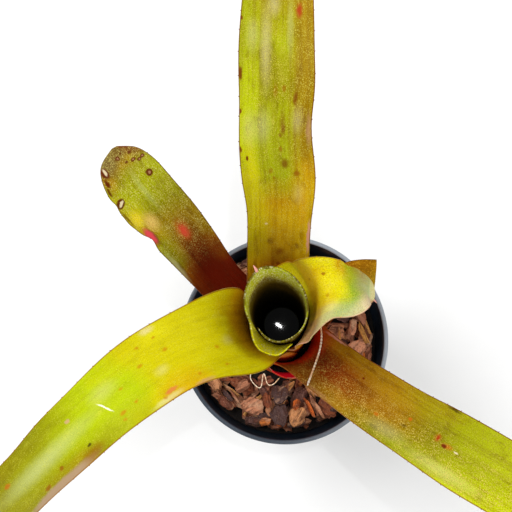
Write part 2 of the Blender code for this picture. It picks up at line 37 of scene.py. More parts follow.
# Pot, as in the solids
POT_HEIGHT = 0.100
POT_RADIUS = 0.060
RIM_WIDTH = 0.0024
RIM_DEPTH = 0.008
WALL = 0.0013
FLOOR = 0.002
UNDERSIDE = 0.0006
FOOT_RADIUS = 0.0405
HEEL_HEIGHT = 0.003
POT_STEPS = 160
DRAIN_HOLES = 8
DRAIN_RADIUS = 0.004
DRAIN_REACH = 0.029

# The plant's tube, as in the solids
SOIL_HEIGHT = 0.088
LEAN_ANGLE = math.radians(4.7)
LEAN_AZIMUTH = math.radians(133.5)
CORE_RADIUS = 7.9
CORE_FLARE = 0.042
LAYER_PITCH = 1.4
LAYER_DROP = 3.4
INNER_BASE = 14.0
LEAF_THICKNESS = 0.8
FOOT_WRAP = 104
SHORT_OF_BEND = 8
OUTWARD_HEADING = 0.3
RIPPLE_FROM = 60
RIPPLE_GROWTH = 40
RIPPLE_LENGTH = 7.5
WATER_LEVEL = 58

# The centre leaf's roll, as in the solids
ROLL_START = -140
ROLL_END = 292
MOUTH_HEIGHT = 111
MOUTH_SLANT = 15
MOUTH_HIGH_SIDE = 118
APEX_AZIMUTH = 115
APEX_RISE = 4
LIP_RISE = (202, 247)
LIP_FALL = (262, 292)
LIP_LOSS = 0.7
LIP_DROP = 3
LIP_FLARE = 5.8
INNER_RISE = (-140, -110)
INNER_FALL = (-105, -55)
INNER_FLARE = 1.1
HIGH_FLARE = 1.3
FLARE_DEPTH = 14
ARC_RADIUS = 13
HOOK_BEARING = 123
HOOK_LENGTH = 3.8

# Torn margin fibres, as in the solids: the strand's travel over leaf 5, and the loops'
# (reach, azimuth, height) knots in plant space
STRAND_TRAVEL = (45.0, 65.6)
STRAND_LIFT = 0.95
PLY_RADIUS = 0.33
PLY_PITCH = 3.6
LOOP_RADIUS = 0.27
# Length of the brown bands along each fibre: partly the fibre's own brown, partly painted shade of
# the crevices between its plies
FIBRE_BROWN_AND_SHADE_BAND = 2.3
LOOP_KNOTS = [
    (24.6, -133, 12), (29, -131.5, 12.5), (31.5, -127, 13), (33.5, -113.5, 13.5),
    (30, -114, 13.5), (24.5, -119, 13), (23.7, -117, 12.5), (26.5, -112.5, 12.5),
    (29.8, -107.5, 13), (28, -101, 13), (24.4, -97, 13), (23.6, -95, 13)]

# How finely the leaves are drawn
LEAF_COLUMNS = 40
LEAF_STEP = 1.3
TIP_STEP = 0.35
TIP_RUN = 7.0
ROLL_COLUMNS = 300
ROLL_ROWS = 110

# Marginal teeth, and the spines at the tips of leaves 1 and 2
TOOTH_SINK = 0.15
TOOTH_HALF = 0.4
TOOTH_THICK = 0.2
TOOTH_REACH = 0.45
RING_SIDES = 8
SPINE_RADIUS = 0.55
HOOK_RADIUS = 0.75

# Camera over the pot, tipped back a little from straight down
CAMERA_PLACE = (-0.016458, -0.028745, 0.534722)
CAMERA_TILT = math.radians(10)
CAMERA_LENS = 52.73
SENSOR_WIDTH = 36

AXIS = Matrix.Translation((0, 0, SOIL_HEIGHT)) @ Matrix.Rotation(
    LEAN_ANGLE, 4, Vector((-math.sin(LEAN_AZIMUTH), math.cos(LEAN_AZIMUTH), 0)))


def srgb(red, green, blue):
    """A display colour from 0 to 255 as linear light."""
    channels = [value / 255 for value in (red, green, blue)]
    return tuple(c / 12.92 if c <= 0.04045 else ((c + 0.055) / 1.055) ** 2.4
                 for c in channels)


YELLOW = srgb(214, 206, 4)
SUN = srgb(204, 166, 2)
GOLD = srgb(190, 146, 2)
BUTTER = srgb(200, 190, 2)
FRESH_LIME = srgb(174, 192, 3)
LIME = srgb(190, 202, 8)
LEAF_GREEN = srgb(158, 166, 4)
MOSS = srgb(138, 134, 3)
OLIVE = srgb(150, 120, 2)
TAN = srgb(164, 116, 4)
BROWN = srgb(138, 78, 3)
RUST = srgb(106, 38, 3)
MAROON = srgb(84, 1, 1)
DARK_BROWN = srgb(48, 22, 5)
DARK_RED = srgb(104, 14, 4)
FLAME = srgb(206, 46, 8)
UMBER = srgb(146, 54, 4)
ORANGE = srgb(190, 96, 16)
OCHRE = srgb(184, 124, 6)
CRIMSON = srgb(224, 14, 48)
# A pale mint used only as painted sheen on leaf 2
PAINTED_MINT_SHEEN = srgb(174, 192, 122)
SAGE = srgb(164, 170, 84)
BEIGE = srgb(182, 136, 98)
ASH = srgb(168, 138, 112)
PALE = srgb(216, 210, 150)
CREAM = srgb(226, 210, 168)
PINK = srgb(222, 156, 144)
SILVER = srgb(196, 194, 150)
OLD_GOLD = srgb(212, 158, 36)
LEAF_SHEEN = (1.0, 0.90, 0.18, 1.0)


def polar(radius, azimuth):
    """The flat place at a radius and an azimuth in radians."""
    return radius * math.cos(azimuth), radius * math.sin(azimuth)


def link(name, data):
    """A new object in the scene."""
    shown = bpy.data.objects.new(name, data)
    bpy.context.scene.collection.objects.link(shown)
    return shown


def mesh_from(name, bm):
    """A mesh of a bmesh, which is then freed."""
    mesh = bpy.data.meshes.new(name)
    bm.to_mesh(mesh)
    bm.free()
    return mesh


def mesh_with(name, verts, faces, **attributes):
    """A mesh whose points carry numbers or vectors for its material."""
    mesh = bpy.data.meshes.new(name)
    mesh.from_pydata(verts, [], faces)
    for attribute, values in attributes.items():
        values = np.array(values, dtype=np.float32)
        kind, key = ("FLOAT", "value") if values.ndim == 1 else ("FLOAT_VECTOR", "vector")
        mesh.attributes.new(attribute, kind, "POINT").data.foreach_set(key, values.ravel())
    return mesh


# What each leaf is like

@dataclass
class Mark:
    """A spot or tint on a leaf: its place and half size in millimetres, along and across,
    how strong and how soft it is, and a dark rim round a paler middle where ringed."""

    along: float
    across: float
    length: float
    width: float
    colour: tuple
    strength: float = 0.85
    soft: float = 0.5
    turn: float = 0.0
    ring: bool = False


@dataclass
class Look:
    """A leaf's colours as (travel, colour) stops down its middle and down the left and
    right margins, seen from the tube, with its scurf, the fine dust of pale scales.
    A margin that has no colours of its own takes the middle's."""

    middle: list
    left: list = None
    right: list = None
    scurf: tuple = OLD_GOLD
    scurf_amount: float = 0.45
    streak: tuple = (0.55, 0.40, 0.25)
    streaks: float = 0.4
    scurf_from: float = 60
    scurf_left: float = 1.0
    margin: tuple = BROWN
    right_margin: tuple = None
    under: tuple = MOSS


@dataclass
class Leaf:
    """A strap leaf, with the same knots as its solid: (reach from the tube's axis, height,
    azimuth, half width, trough radius, roll). The spine is the way from the tip to the
    spine's end, and teeth stand about a row length apart. A bite out of a margin is
    (travel, side, half length, depth), and one of negative depth is a bulge."""

    name: str
    slot: str
    layer: float
    clasp: float
    rises_to: float
    blade: list
    look: Look
    spine: tuple = (0, 0, 0)
    wave: float = 1.0
    row_length: float = 9.0
    has_teeth: bool = True
    bites: list = field(default_factory=list)


# Marks softer than this lie under the scurf, and the rest over it
UNDER_SCURF = 0.8

# Travel over which the scurf comes in, and so many millimetres of ragged mark outlines
SCURF_RISE = 30
RAGGED = 1.5

# Each leaf's marks, in the order they are laid, as the fields of a Mark
MARKS = {
    "leaf_2_east": [
        (120, 6, 5, 3, LEAF_GREEN, 0.6, 0.9), (109, 8.3, 0.8, 0.8, BROWN, 0.8),
        (97, 9.1, 1.6, 0.9, BROWN, 0.5), (109, -1.6, 1.2, 1, TAN, 0.6)],
    "leaf_3_southwest": [
        # The first mark is a painted highlight: a long pale green band down the middle of the outer
        # half, where the arched leaf catches the light.
        (206, -0.5, 38, 4.6, srgb(200, 208, 140), 0.55, 1),
        (131, -12.5, 9, 4.5, srgb(226, 218, 20), 0.5, 1), (133, -15.5, 3.5, 1.8, CREAM, 0.6, 0.9),
        # The first mark on the next line is painted sheen: a long ash strip along the lower margin
        # where the leaf arches down.
        (203, 13.2, 26, 2.9, ASH, 0.9, 0.5), (180, 12, 7, 3.2, BROWN, 0.6, 0.8),
        (141, 15.3, 9, 1.6, PALE, 0.55, 0.8), (122, 17.4, 6, 1.5, BEIGE, 0.7, 0.7),
        (136, 3, 4, 2.6, PALE, 0.3, 1), (162, -5, 8, 4, PALE, 0.25, 1),
        (98, 1, 4, 3, PALE, 0.25, 1), (130, -4.4, 1.5, 0.9, OCHRE, 0.75, 0.8),
        (132, -11.2, 0.9, 0.7, OCHRE, 0.75, 0.8), (140, -11, 1.1, 0.9, OCHRE, 0.75, 0.8),
        (143, -4, 1.7, 1.1, OCHRE, 0.75, 0.8), (106, 3.2, 1.7, 1.1, OCHRE, 0.65, 0.8),
        (106, 12.9, 1.8, 0.9, OCHRE, 0.65, 0.8), (122, 12.7, 1.3, 1, OCHRE, 0.75, 0.8),
        (138, 12.8, 3.8, 1.1, srgb(206, 112, 60), 0.8), (142, 14.2, 1.3, 0.9, OCHRE, 0.75, 0.8),
        (155, -1, 1.2, 0.8, OCHRE, 0.65, 0.8), (153, 7.5, 1.3, 0.9, OCHRE, 0.75, 0.8),
        (160, 7.8, 2, 1, OCHRE, 0.8, 0.7), (161, 10.6, 1.2, 0.9, OCHRE, 0.65, 0.8),
        (182, -6, 1.6, 1.1, PINK, 0.5), (180, 8.3, 1.3, 0.9, DARK_BROWN, 0.85),
        (198, 7, 1.8, 1.1, BROWN, 0.8), (209, 9.4, 2.4, 1.2, BROWN, 0.8),
        (230, -4.8, 2.8, 1.3, ORANGE, 0.7),
        (165, 0.8, 4.4, 0.45, srgb(246, 244, 214), 1, 0.5, 117)],
    "leaf_4_north": [
        (200, 4.6, 20, 2.7, srgb(196, 180, 136), 0.5, 1),
        (219, 1.5, 7, 3, srgb(200, 190, 140), 0.5, 1),
        (208, -5.6, 15, 1.7, srgb(176, 178, 100), 0.5, 0.9), (204, 10.3, 8, 3, PALE, 0.3, 1),
        (166, 5.4, 8, 4, SILVER, 0.3, 1), (165, 11, 8, 3.4, PALE, 0.28, 1),
        (169, -9.3, 7, 3, PALE, 0.32, 1), (134, -8.6, 6, 3, PALE, 0.22, 1),
        (146, 11.2, 17, 3.2, srgb(220, 214, 10), 0.7, 1),
        (125, -10.8, 13, 2.5, srgb(214, 160, 20), 0.55, 1), (165, -14.2, 9, 1.4, BEIGE, 0.6, 0.8),
        (110, -14, 11, 0.9, PINK, 0.8, 0.6), (192, -10, 26, 3.5, RUST, 0.2, 1),
        (215, -9.4, 4, 1.7, srgb(160, 40, 16), 0.9, 0.7), (178, -7.9, 3.2, 1.2, DARK_RED, 0.7, 0.8),
        (167, -3.1, 7, 1.8, RUST, 0.6, 0.9), (165, -3.3, 2.4, 1.2, DARK_RED, 0.5, 0.8),
        (149, -3.2, 2.7, 2.3, RUST, 0.75, 0.7), (144, -8.1, 1.6, 1.6, BROWN, 0.8, 0.7),
        (154, 12.8, 1.3, 0.7, DARK_RED, 0.95), (146, 3.3, 1.6, 1.2, BROWN, 0.6, 0.8),
        (142.5, 2.2, 1.2, 0.9, BROWN, 0.6, 0.8), (156, -2, 1.4, 1, BROWN, 0.6),
        (162, -2, 1.2, 0.9, RUST, 0.6), (181, 0.6, 3.4, 1.2, BROWN, 0.55, 0.9),
        (182, -3, 1.6, 1, BROWN, 0.6), (104, 3.8, 3.2, 1.9, RUST, 0.6, 0.9),
        (97, -0.8, 3.2, 1.9, DARK_RED, 0.6, 0.9), (88, 0.2, 1.8, 1.1, DARK_RED, 0.7, 0.9),
        (102, -9, 2.4, 1.6, RUST, 0.6, 0.9), (116, 5.9, 0.8, 0.7, CREAM, 0.7),
        (188, 15.3, 3, 1, DARK_RED, 0.9), (172, 15.2, 1.2, 0.7, DARK_RED, 0.9),
        (158, 15.4, 1.2, 0.7, DARK_RED, 0.9), (211, 15, 1.2, 0.7, DARK_RED, 0.9)],
    "leaf_5_southeast": [
        (116, -9, 13, 4, srgb(190, 180, 128), 0.4, 1),
        (150, -11, 20, 3.4, srgb(206, 204, 140), 0.4, 1), (98, -1, 24, 4, BROWN, 0.45, 1),
        (62, 2, 13, 6, DARK_RED, 0.5, 1), (110, 15.4, 5, 0.6, DARK_BROWN, 0.7, 0.8),
        (141, 14.8, 5, 0.9, DARK_BROWN, 0.8, 0.8), (58, 14.6, 10, 0.9, PINK, 0.7, 0.6),
        (72, -14, 13, 1.6, BEIGE, 0.5, 0.9), (87, 6, 1.1, 0.7, DARK_RED, 0.95),
        (106, -5, 1.7, 1.1, ORANGE, 0.7), (123, 1.5, 1.3, 1.1, ORANGE, 0.8),
        (122, -2.6, 2.8, 0.9, DARK_BROWN, 0.6, 0.9), (140, 0.8, 2.2, 2.2, ORANGE, 0.7, 0.9),
        (140, 0.8, 1.1, 1.8, srgb(160, 44, 8), 0.9), (146, -0.4, 3.2, 1.3, ORANGE, 0.8, 0.9),
        (144.6, -0.8, 1.4, 1.1, DARK_RED, 0.95), (151, -0.8, 1.3, 0.5, CREAM, 0.9)],
    "leaf_6_northwest": [
        # The first mark on the next line is painted shade: a broad rust band down the leaf's right
        # side. The maroon patch after it is the leaf's own colour.
        (96, -6, 17, 5.5, RUST, 0.6, 1), (72, -2, 10, 9, MAROON, 0.9, 0.8),
        (133, -1, 13, 1.7, srgb(172, 180, 110), 0.4, 0.9),
        (90, 13, 13, 1.8, srgb(176, 172, 122), 0.65, 0.8),
        (125, 11.5, 5, 4, srgb(240, 214, 40), 0.7, 0.9),
        (119, 7, 6, 4, srgb(232, 190, 110), 0.7, 1), (153, 7, 7, 6, srgb(112, 92, 50), 0.75, 0.9),
        (143, 11, 5, 3.4, ORANGE, 0.25, 0.9), (113.6, 12.2, 6.6, 2.9, MAROON, 0.8, 0.5),
        (114.6, 12.6, 6, 2.3, srgb(226, 70, 84), 0.95, 0.6),
        (104, -1.8, 7, 4, srgb(206, 64, 48), 0.7, 1),
        (103, -1.8, 4.4, 2.4, srgb(214, 66, 50), 0.8, 0.8),
        (139, -8.4, 2.1, 2.1, MAROON, 0.95, 0.3, 0, True),
        (148, -10.4, 1.4, 1.4, MAROON, 0.95, 0.3, 0, True),
        (147.6, -8.2, 1.2, 1.3, MAROON, 0.95, 0.3, 0, True),
        (149, -5.6, 1.3, 1.3, MAROON, 0.95, 0.3, 0, True),
        (154, 1, 1.5, 1.3, MAROON, 0.9, 0.3, 0, True), (150, -1.9, 0.9, 0.9, MAROON, 0.9),
        (154, -5.7, 1.1, 1.4, MAROON, 0.9), (156, -1.5, 0.7, 0.7, MAROON, 0.9),
        (153, 6.4, 1.4, 1.6, MAROON, 0.5, 0.9), (150, 10.2, 3.4, 2.2, MAROON, 0.95, 0.4),
        (150.5, 10, 2.4, 0.9, CREAM, 0.8, 0.5), (145, 12, 2.8, 1.2, MAROON, 0.95, 0.6),
        (141, 13.6, 3, 0.9, MAROON, 0.9, 0.6), (134.5, 12.4, 1.9, 3.2, MAROON, 0.95, 0.3, 25),
        (134.5, 12.2, 0.8, 2.2, CREAM, 0.9, 0.4, 25), (128, 14.8, 5, 0.7, MAROON, 0.7, 0.6)],
}

# The leaves round the centre one, from the innermost outward
LEAVES = [
    Leaf("leaf_2_east", "leaf_yellow", 2.3, 27, 80, spine=(2.3, -2, -1.4), wave=0.6, row_length=5,
         blade=[(15.3, 87, 27, 24.5, 24.3, 3), (16.4, 92.6, 23.1, 21.1, 27.7, 2),
             (17.9, 100.4, 20.9, 20.4, 30.5, 5), (19.5, 112.1, 18.4, 19.1, 26.4, 6),
             (24.4, 114.2, 18.3, 14.8, 22.3, 11), (31.2, 112.8, 12.1, 13.1, 24.8, 1),
             (38.2, 109.8, 14.4, 9.5, 25.2, -5), (41.8, 99.7, 15.5, 7, 25.1, -7),
             (44.3, 88.4, 13.4, 7, 23.7, -7), (46.3, 83.9, 10.6, 1, 22.4, -3)],
         look=Look(
             # The sage, mint and pale stops toward leaf 2's tip, and the ash, pale, mint and cream
             # run along its right margin from travel 104 to 125, are painted sheen where the blade
             # bends down.
             middle=[(50, ORANGE), (66, SUN), (80, YELLOW), (90, SUN), (104, SUN), (112, YELLOW),
                 (118, srgb(140, 168, 30)), (126, SAGE), (134, SAGE), (142, PAINTED_MINT_SHEEN), (150, PALE)],
             left=[(50, ORANGE), (66, YELLOW), (84, YELLOW), (98, SUN), (110, YELLOW), (115, GOLD),
                 (122, LEAF_GREEN), (134, OLIVE), (142, SAGE), (150, PALE)],
             right=[(50, RUST), (76, ORANGE), (84, BEIGE), (96, BEIGE), (104, ASH), (110, PALE),
                 (117, PAINTED_MINT_SHEEN), (125, CREAM), (138, BEIGE), (150, BEIGE)],
             scurf=srgb(232, 214, 90), scurf_amount=0.4, streaks=0.1, margin=TAN, right_margin=PINK,
             under=SAGE)),
    Leaf("leaf_3_southwest", "leaf_lime", 3.3, 20, 72,
         blade=[(18, 82, -152, 19.5, 19, 0), (23.2, 93.5, -153.5, 25, 24, 0),
             (30.5, 102.5, -156, 22.3, 30, 0), (40.5, 110.5, -156.6, 18.5, 36, 0),
             (53.7, 117.2, -155.2, 17.2, 45, 0), (68.7, 122, -152.3, 16.8, 60, 0),
             (83.7, 123.4, -150.1, 15.9, 60, 0), (98, 121.2, -148.4, 15, 50, 0),
             (127, 109.2, -146.3, 14.3, 40, 0), (164, 86.5, -145.2, 13.3, 36, 0),
             (187, 69.5, -145, 10.5, 34, 0), (201, 58.5, -145, 6.5, 34, 0),
             (209, 52, -145, 1, 34, 0)],
         look=Look(
             middle=[(45, ORANGE), (72, TAN), (86, GOLD), (98, BUTTER), (136, BUTTER),
                 (152, FRESH_LIME), (176, FRESH_LIME), (200, LEAF_GREEN), (240, MOSS),
                 (300, OLIVE)],
             left=[(45, ORANGE), (80, GOLD), (90, BUTTER), (116, BUTTER), (126, SUN), (136, SUN),
                 (146, BUTTER), (160, LEAF_GREEN), (176, MOSS), (184, OLIVE), (220, MOSS),
                 (300, OLIVE)],
             right=[(45, RUST), (80, BROWN), (92, GOLD), (106, BUTTER), (146, BUTTER),
                 (164, FRESH_LIME), (182, LEAF_GREEN), (208, MOSS), (300, OLIVE)],
             scurf=srgb(226, 222, 70), scurf_amount=0.3, scurf_from=70, streak=(0.74, 0.70, 0.4),
             streaks=0.3)),
    Leaf("leaf_4_north", "leaf_olive", 4.3, 25, 54,
         blade=[(18.6, 66, 93, 18.5, 19, 0), (22.2, 77, 92.5, 16.5, 26, 0),
             (27.5, 87, 91.5, 15.5, 34, 0), (34.5, 100.4, 90.2, 14.9, 40, 0),
             (44, 117.5, 88.8, 14.7, 46, 0), (54, 131.5, 88.8, 16.6, 50, 0),
             (63.5, 142, 90.1, 16, 50, 0), (74, 150.5, 90.1, 15.2, 50, 0),
             (85, 156.4, 89.2, 16.2, 50, 0), (97, 160.2, 89.5, 16.1, 46, 0),
             (123, 162.2, 89.2, 15.6, 40, 0), (158, 154, 89.2, 13.6, 36, 0),
             (179, 146, 89.1, 10.3, 34, 0), (193, 140, 89.2, 6, 34, 0), (200, 137, 89.2, 1, 34, 0)],
         look=Look(
             middle=[(40, RUST), (80, ORANGE), (92, TAN), (104, GOLD), (118, SUN), (130, GOLD),
                 (142, LEAF_GREEN), (170, LEAF_GREEN), (184, MOSS), (204, LEAF_GREEN), (230, OLIVE),
                 (290, BROWN)],
             left=[(40, RUST), (80, TAN), (94, SUN), (106, BUTTER), (146, BUTTER),
                 (160, srgb(178, 190, 6)), (186, srgb(178, 190, 6)), (200, LEAF_GREEN),
                 (220, LEAF_GREEN), (290, OLIVE)],
             right=[(40, RUST), (80, ORANGE), (90, SUN), (132, SUN), (146, GOLD), (160, OLIVE),
                 (186, OLIVE), (206, OLIVE), (230, TAN), (290, BROWN)],
             scurf=srgb(208, 194, 78), scurf_amount=0.6, scurf_from=80, streak=(0.62, 0.50, 0.3),
             streaks=0.5, margin=RUST)),
    Leaf("leaf_5_southeast", "leaf_brown_green", 5.3, 26, 28,
         blade=[(18, 37, -40.2, 18, 19, 0), (22, 45.8, -41.3, 15.8, 26, 0),
             (29.3, 53.4, -42.4, 15.2, 34, 0), (41.2, 63, -41.9, 15, 42, 0),
             (54.6, 74.2, -41.8, 15, 50, 0), (86.7, 103.1, -40, 15.4, 50, 0),
             (102.5, 115.8, -39.3, 16, 46, 0), (115.4, 123.1, -38.6, 15.6, 42, 0),
             (128.4, 126.2, -38, 14.9, 40, 0), (141.4, 124.9, -37.5, 13.2, 38, 0),
             (155.4, 119.1, -36.9, 9.9, 36, 0), (164.5, 114.2, -36.6, 6, 36, 0),
             (169.5, 111.3, -36.4, 1, 36, 0)],
         look=Look(
             middle=[(0, FLAME), (36, FLAME), (46, FLAME), (56, RUST), (72, UMBER), (90, BROWN),
                 (106, TAN), (122, OLIVE), (138, MOSS), (156, LEAF_GREEN), (228, LIME)],
             left=[(0, FLAME), (42, FLAME), (52, ORANGE), (66, TAN), (96, srgb(170, 126, 4)),
                 (116, srgb(166, 138, 4)), (136, srgb(164, 154, 4)), (158, LEAF_GREEN),
                 (228, LIME)],
             right=[(0, FLAME), (36, FLAME), (46, RUST), (60, BROWN), (80, TAN), (96, OLIVE),
                 (112, MOSS), (128, LEAF_GREEN), (150, LIME), (228, LIME)],
             scurf=srgb(226, 200, 96), scurf_amount=0.75, scurf_from=34, scurf_left=0.25,
             streaks=0.4, margin=DARK_RED, right_margin=BROWN)),
    Leaf("leaf_6_northwest", "leaf_dark_green", 6.3, 26, 13,
         bites=[(112.5, 1, 4.5, 2), (135, 1, 2, 0.9), (126, 1, 3, -0.5)],
         blade=[(20, 21.7, 141.6, 17, 19, 0), (24.4, 32.7, 143.2, 14, 26, 0),
             (32.6, 42.6, 143.7, 12.3, 34, 0), (41.7, 50.5, 142.7, 12.2, 40, 0),
             (51.3, 60.3, 140.7, 13, 44, 0), (61.4, 71.2, 138.9, 14.2, 48, 0),
             (71.5, 81.1, 138.1, 15, 50, 0), (81.6, 89, 138.1, 15.4, 50, 0),
             (90.2, 93.7, 137.8, 15.8, 46, 0), (98.7, 96.6, 136.8, 15.5, 42, 0),
             (107, 97.3, 135.9, 13.2, 40, 0), (113.5, 96.7, 135, 10, 40, 0),
             (118.4, 95.6, 134.2, 1.5, 40, 0)],
         look=Look(
             middle=[(30, DARK_RED), (64, MAROON), (80, MAROON), (90, RUST), (100, BROWN),
                 (110, OLIVE), (120, MOSS), (134, LEAF_GREEN), (146, MOSS), (152, OLIVE),
                 (159, srgb(112, 84, 30))],
             left=[(30, DARK_RED), (62, MAROON), (76, RUST), (84, BROWN), (94, MOSS),
                 (104, LEAF_GREEN), (116, SUN), (128, BUTTER), (138, LEAF_GREEN), (146, OLIVE),
                 (156, srgb(118, 94, 40))],
             right=[(30, DARK_RED), (62, MAROON), (76, DARK_RED), (87, BROWN), (97, OLIVE),
                 (112, OLIVE), (124, MOSS), (138, LEAF_GREEN), (148, MOSS), (156, RUST)],
             scurf=srgb(220, 208, 110), scurf_amount=0.65, scurf_from=76, streaks=0.4,
             margin=MAROON)),
    Leaf("leaf_7_stub", "leaf_brown", 7.3, 26, 3,
         blade=[(21, 11, 40, 15, 20, 0), (25.5, 19.3, 40.5, 12.6, 28, 0),
             (32.6, 27.9, 40, 12, 36, 0), (41, 34.6, 37, 12, 40, 0), (49.7, 39.7, 32.8, 12, 44, 0),
             (56.4, 43.3, 26.8, 12.1, 46, 0)],
         look=Look(
             middle=[(20, MAROON), (46, RUST), (60, BROWN), (76, OLIVE)],
             left=[(20, MAROON), (50, RUST), (62, BROWN), (76, TAN)],
             right=[(20, MAROON), (50, RUST), (76, BROWN)],
             scurf_amount=0.7, scurf_from=10, margin=DARK_BROWN)),
    Leaf("leaf_8_old_sheath", "leaf_red", 8.3, 26, 0, has_teeth=False,
         blade=[(21, 6, -93, 17, 21, 0), (21.6, 10.5, -94, 11, 22, 0), (22.3, 15, -96, 5, 24, 0)],
         look=Look(
             middle=[(0, RUST), (12, DARK_RED), (18, CRIMSON), (30, CRIMSON)],
             scurf_amount=0.1, streaks=0.2, margin=PINK, under=RUST)),
]


# Shader graphs

class Graph:
    """A material whose nodes are added and joined by short calls."""

    def __init__(self, name):
        self.material = bpy.data.materials.new(name)
        self.material.use_nodes = True
        self.tree = self.material.node_tree
        self.shader = self.tree.nodes["Principled BSDF"]

    def put(self, socket, value):
        """Link a socket, or set it to a number, vector or colour."""
        if isinstance(value, bpy.types.NodeSocket):
            self.tree.links.new(value, socket)
        elif isinstance(value, tuple) and len(value) == 3 and socket.type == "RGBA":
            socket.default_value = (*value, 1.0)
        else:
            socket.default_value = value

    def add(self, kind, output, inputs, **settings):
        """Add a node with some inputs, by name or by number, and return one output."""
        node = self.tree.nodes.new(kind)
        for name, value in settings.items():
            setattr(node, name, value)
        for socket, value in inputs.items():
            self.put(node.inputs[socket], value)
        return node.outputs[output]

    def attribute(self, name, output="Vector"):
        return self.add("ShaderNodeAttribute", output, {}, attribute_name=name)

    def position(self):
        return self.add("ShaderNodeTexCoord", "Object", {})

    def split(self, vector):
        return self.add("ShaderNodeSeparateXYZ", 0, {0: vector}).node.outputs[:3]

    def math(self, operation, *values):
        return self.add("ShaderNodeMath", 0, dict(enumerate(values)), operation=operation)

    def plus(self, first, second):
        return self.math("ADD", first, second)

    def times(self, first, second):
        return self.math("MULTIPLY", first, second)

    def vector(self, operation, *values):
        output = "Value" if operation == "LENGTH" else "Vector"
        return self.add("ShaderNodeVectorMath", output, dict(enumerate(values)),
                        operation=operation)

    def noise(self, place, scale, detail=2.0, roughness=0.5):
        """Noise with so many waves to a metre, or with a count for each axis."""
        if isinstance(scale, tuple):
            place, scale = self.vector("MULTIPLY", place, scale), 1.0
        return self.add("ShaderNodeTexNoise", "Fac", {
            "Vector": place, "Scale": scale, "Detail": detail, "Roughness": roughness})

    def warp(self, place, scale, amount):
        """Push a place about by a noise of so many metres."""
        shift = self.add("ShaderNodeTexNoise", "Color", {"Vector": place, "Scale": scale})
        centred = self.vector("SUBTRACT", shift, (0.5, 0.5, 0.5))
        return self.vector("ADD", place,
                           self.vector("MULTIPLY", centred, (amount, amount, 0.0)))

    def turn(self, vector, degrees):
        return self.add("ShaderNodeVectorRotate", "Vector",
                        {"Vector": vector, "Angle": math.radians(degrees)},
                        rotation_type="Z_AXIS")

    def dots(self, place, scale, size):
        """Small round dots, about one to a cell, of so large a share of the cell."""
        near = self.add("ShaderNodeTexVoronoi", "Distance", {"Vector": place, "Scale": scale},
                        feature="F1")
        chance = self.split(near.node.outputs["Color"])[0]
        reach = self.math("MULTIPLY_ADD", chance, -0.6 * size, size)
        return self.step(self.math("DIVIDE", near, reach), 1.15, 0.75)

    def step(self, value, low, high, start=0.0, end=1.0):
        """Ease a value from start at low to end at high."""
        return self.add("ShaderNodeMapRange", "Result", {
            "Value": value, "From Min": low, "From Max": high, "To Min": start, "To Max": end},
            interpolation_type="SMOOTHSTEP")

    def mix(self, factor, first, second, blend="MIX"):
        return self.add("ShaderNodeMix", 2, {"Factor": factor, 6: first, 7: second},
                        data_type="RGBA", blend_type=blend)

    def tint(self, colour, other, value, low, high, amount=1.0, blend="MIX"):
        """Turn a colour toward another one as a value runs from low to high."""
        return self.mix(self.step(value, low, high, 0.0, amount), colour, other, blend)

    def ramp(self, factor, stops):
        """A colour that runs through (place, colour) stops."""
        colour = self.add("ShaderNodeValToRGB", "Color", {"Fac": factor})
        elements = colour.node.color_ramp.elements
        while len(elements) < len(stops):
            elements.new(0.5)
        for element, (place, tint) in zip(elements, stops):
            element.position = place
            element.color = (*tint, 1.0)
        return colour

    def bump(self, height, strength, distance):
        normal = self.add("ShaderNodeBump", "Normal", {
            "Height": height, "Strength": strength, "Distance": distance})
        self.put(self.shader.inputs["Normal"], normal)

    def finish(self, colour, roughness, **sockets):
        """Set the shader's sockets and return the material."""
        for name, value in {"Base_Color": colour, "Roughness": roughness, **sockets}.items():
            self.put(self.shader.inputs[name.replace("_", " ")], value)
        return self.material


def paint_marks(g, colour, flow, marks):
    """Lay each mark over a colour, with ragged outlines."""
    ragged = g.warp(flow, 420, RAGGED * MM)
    for mark in marks:
        offset = g.vector("SUBTRACT", ragged, (mark.along * MM, mark.across * MM, 0.0))
        if mark.turn:
            offset = g.turn(offset, -mark.turn)
        scaled = g.vector("MULTIPLY", offset,
                          (1 / (mark.length * MM), 1 / (mark.width * MM), 0.0))
        reach = g.vector("LENGTH", scaled)
        spread = g.step(reach, 1 + 0.3 * mark.soft, 1 - mark.soft, 0.0, mark.strength)
        colour = g.mix(spread, colour, mark.colour)
        if mark.ring:
            colour = g.tint(colour, BEIGE, reach, 0.50, 0.20, 0.6)
    return colour


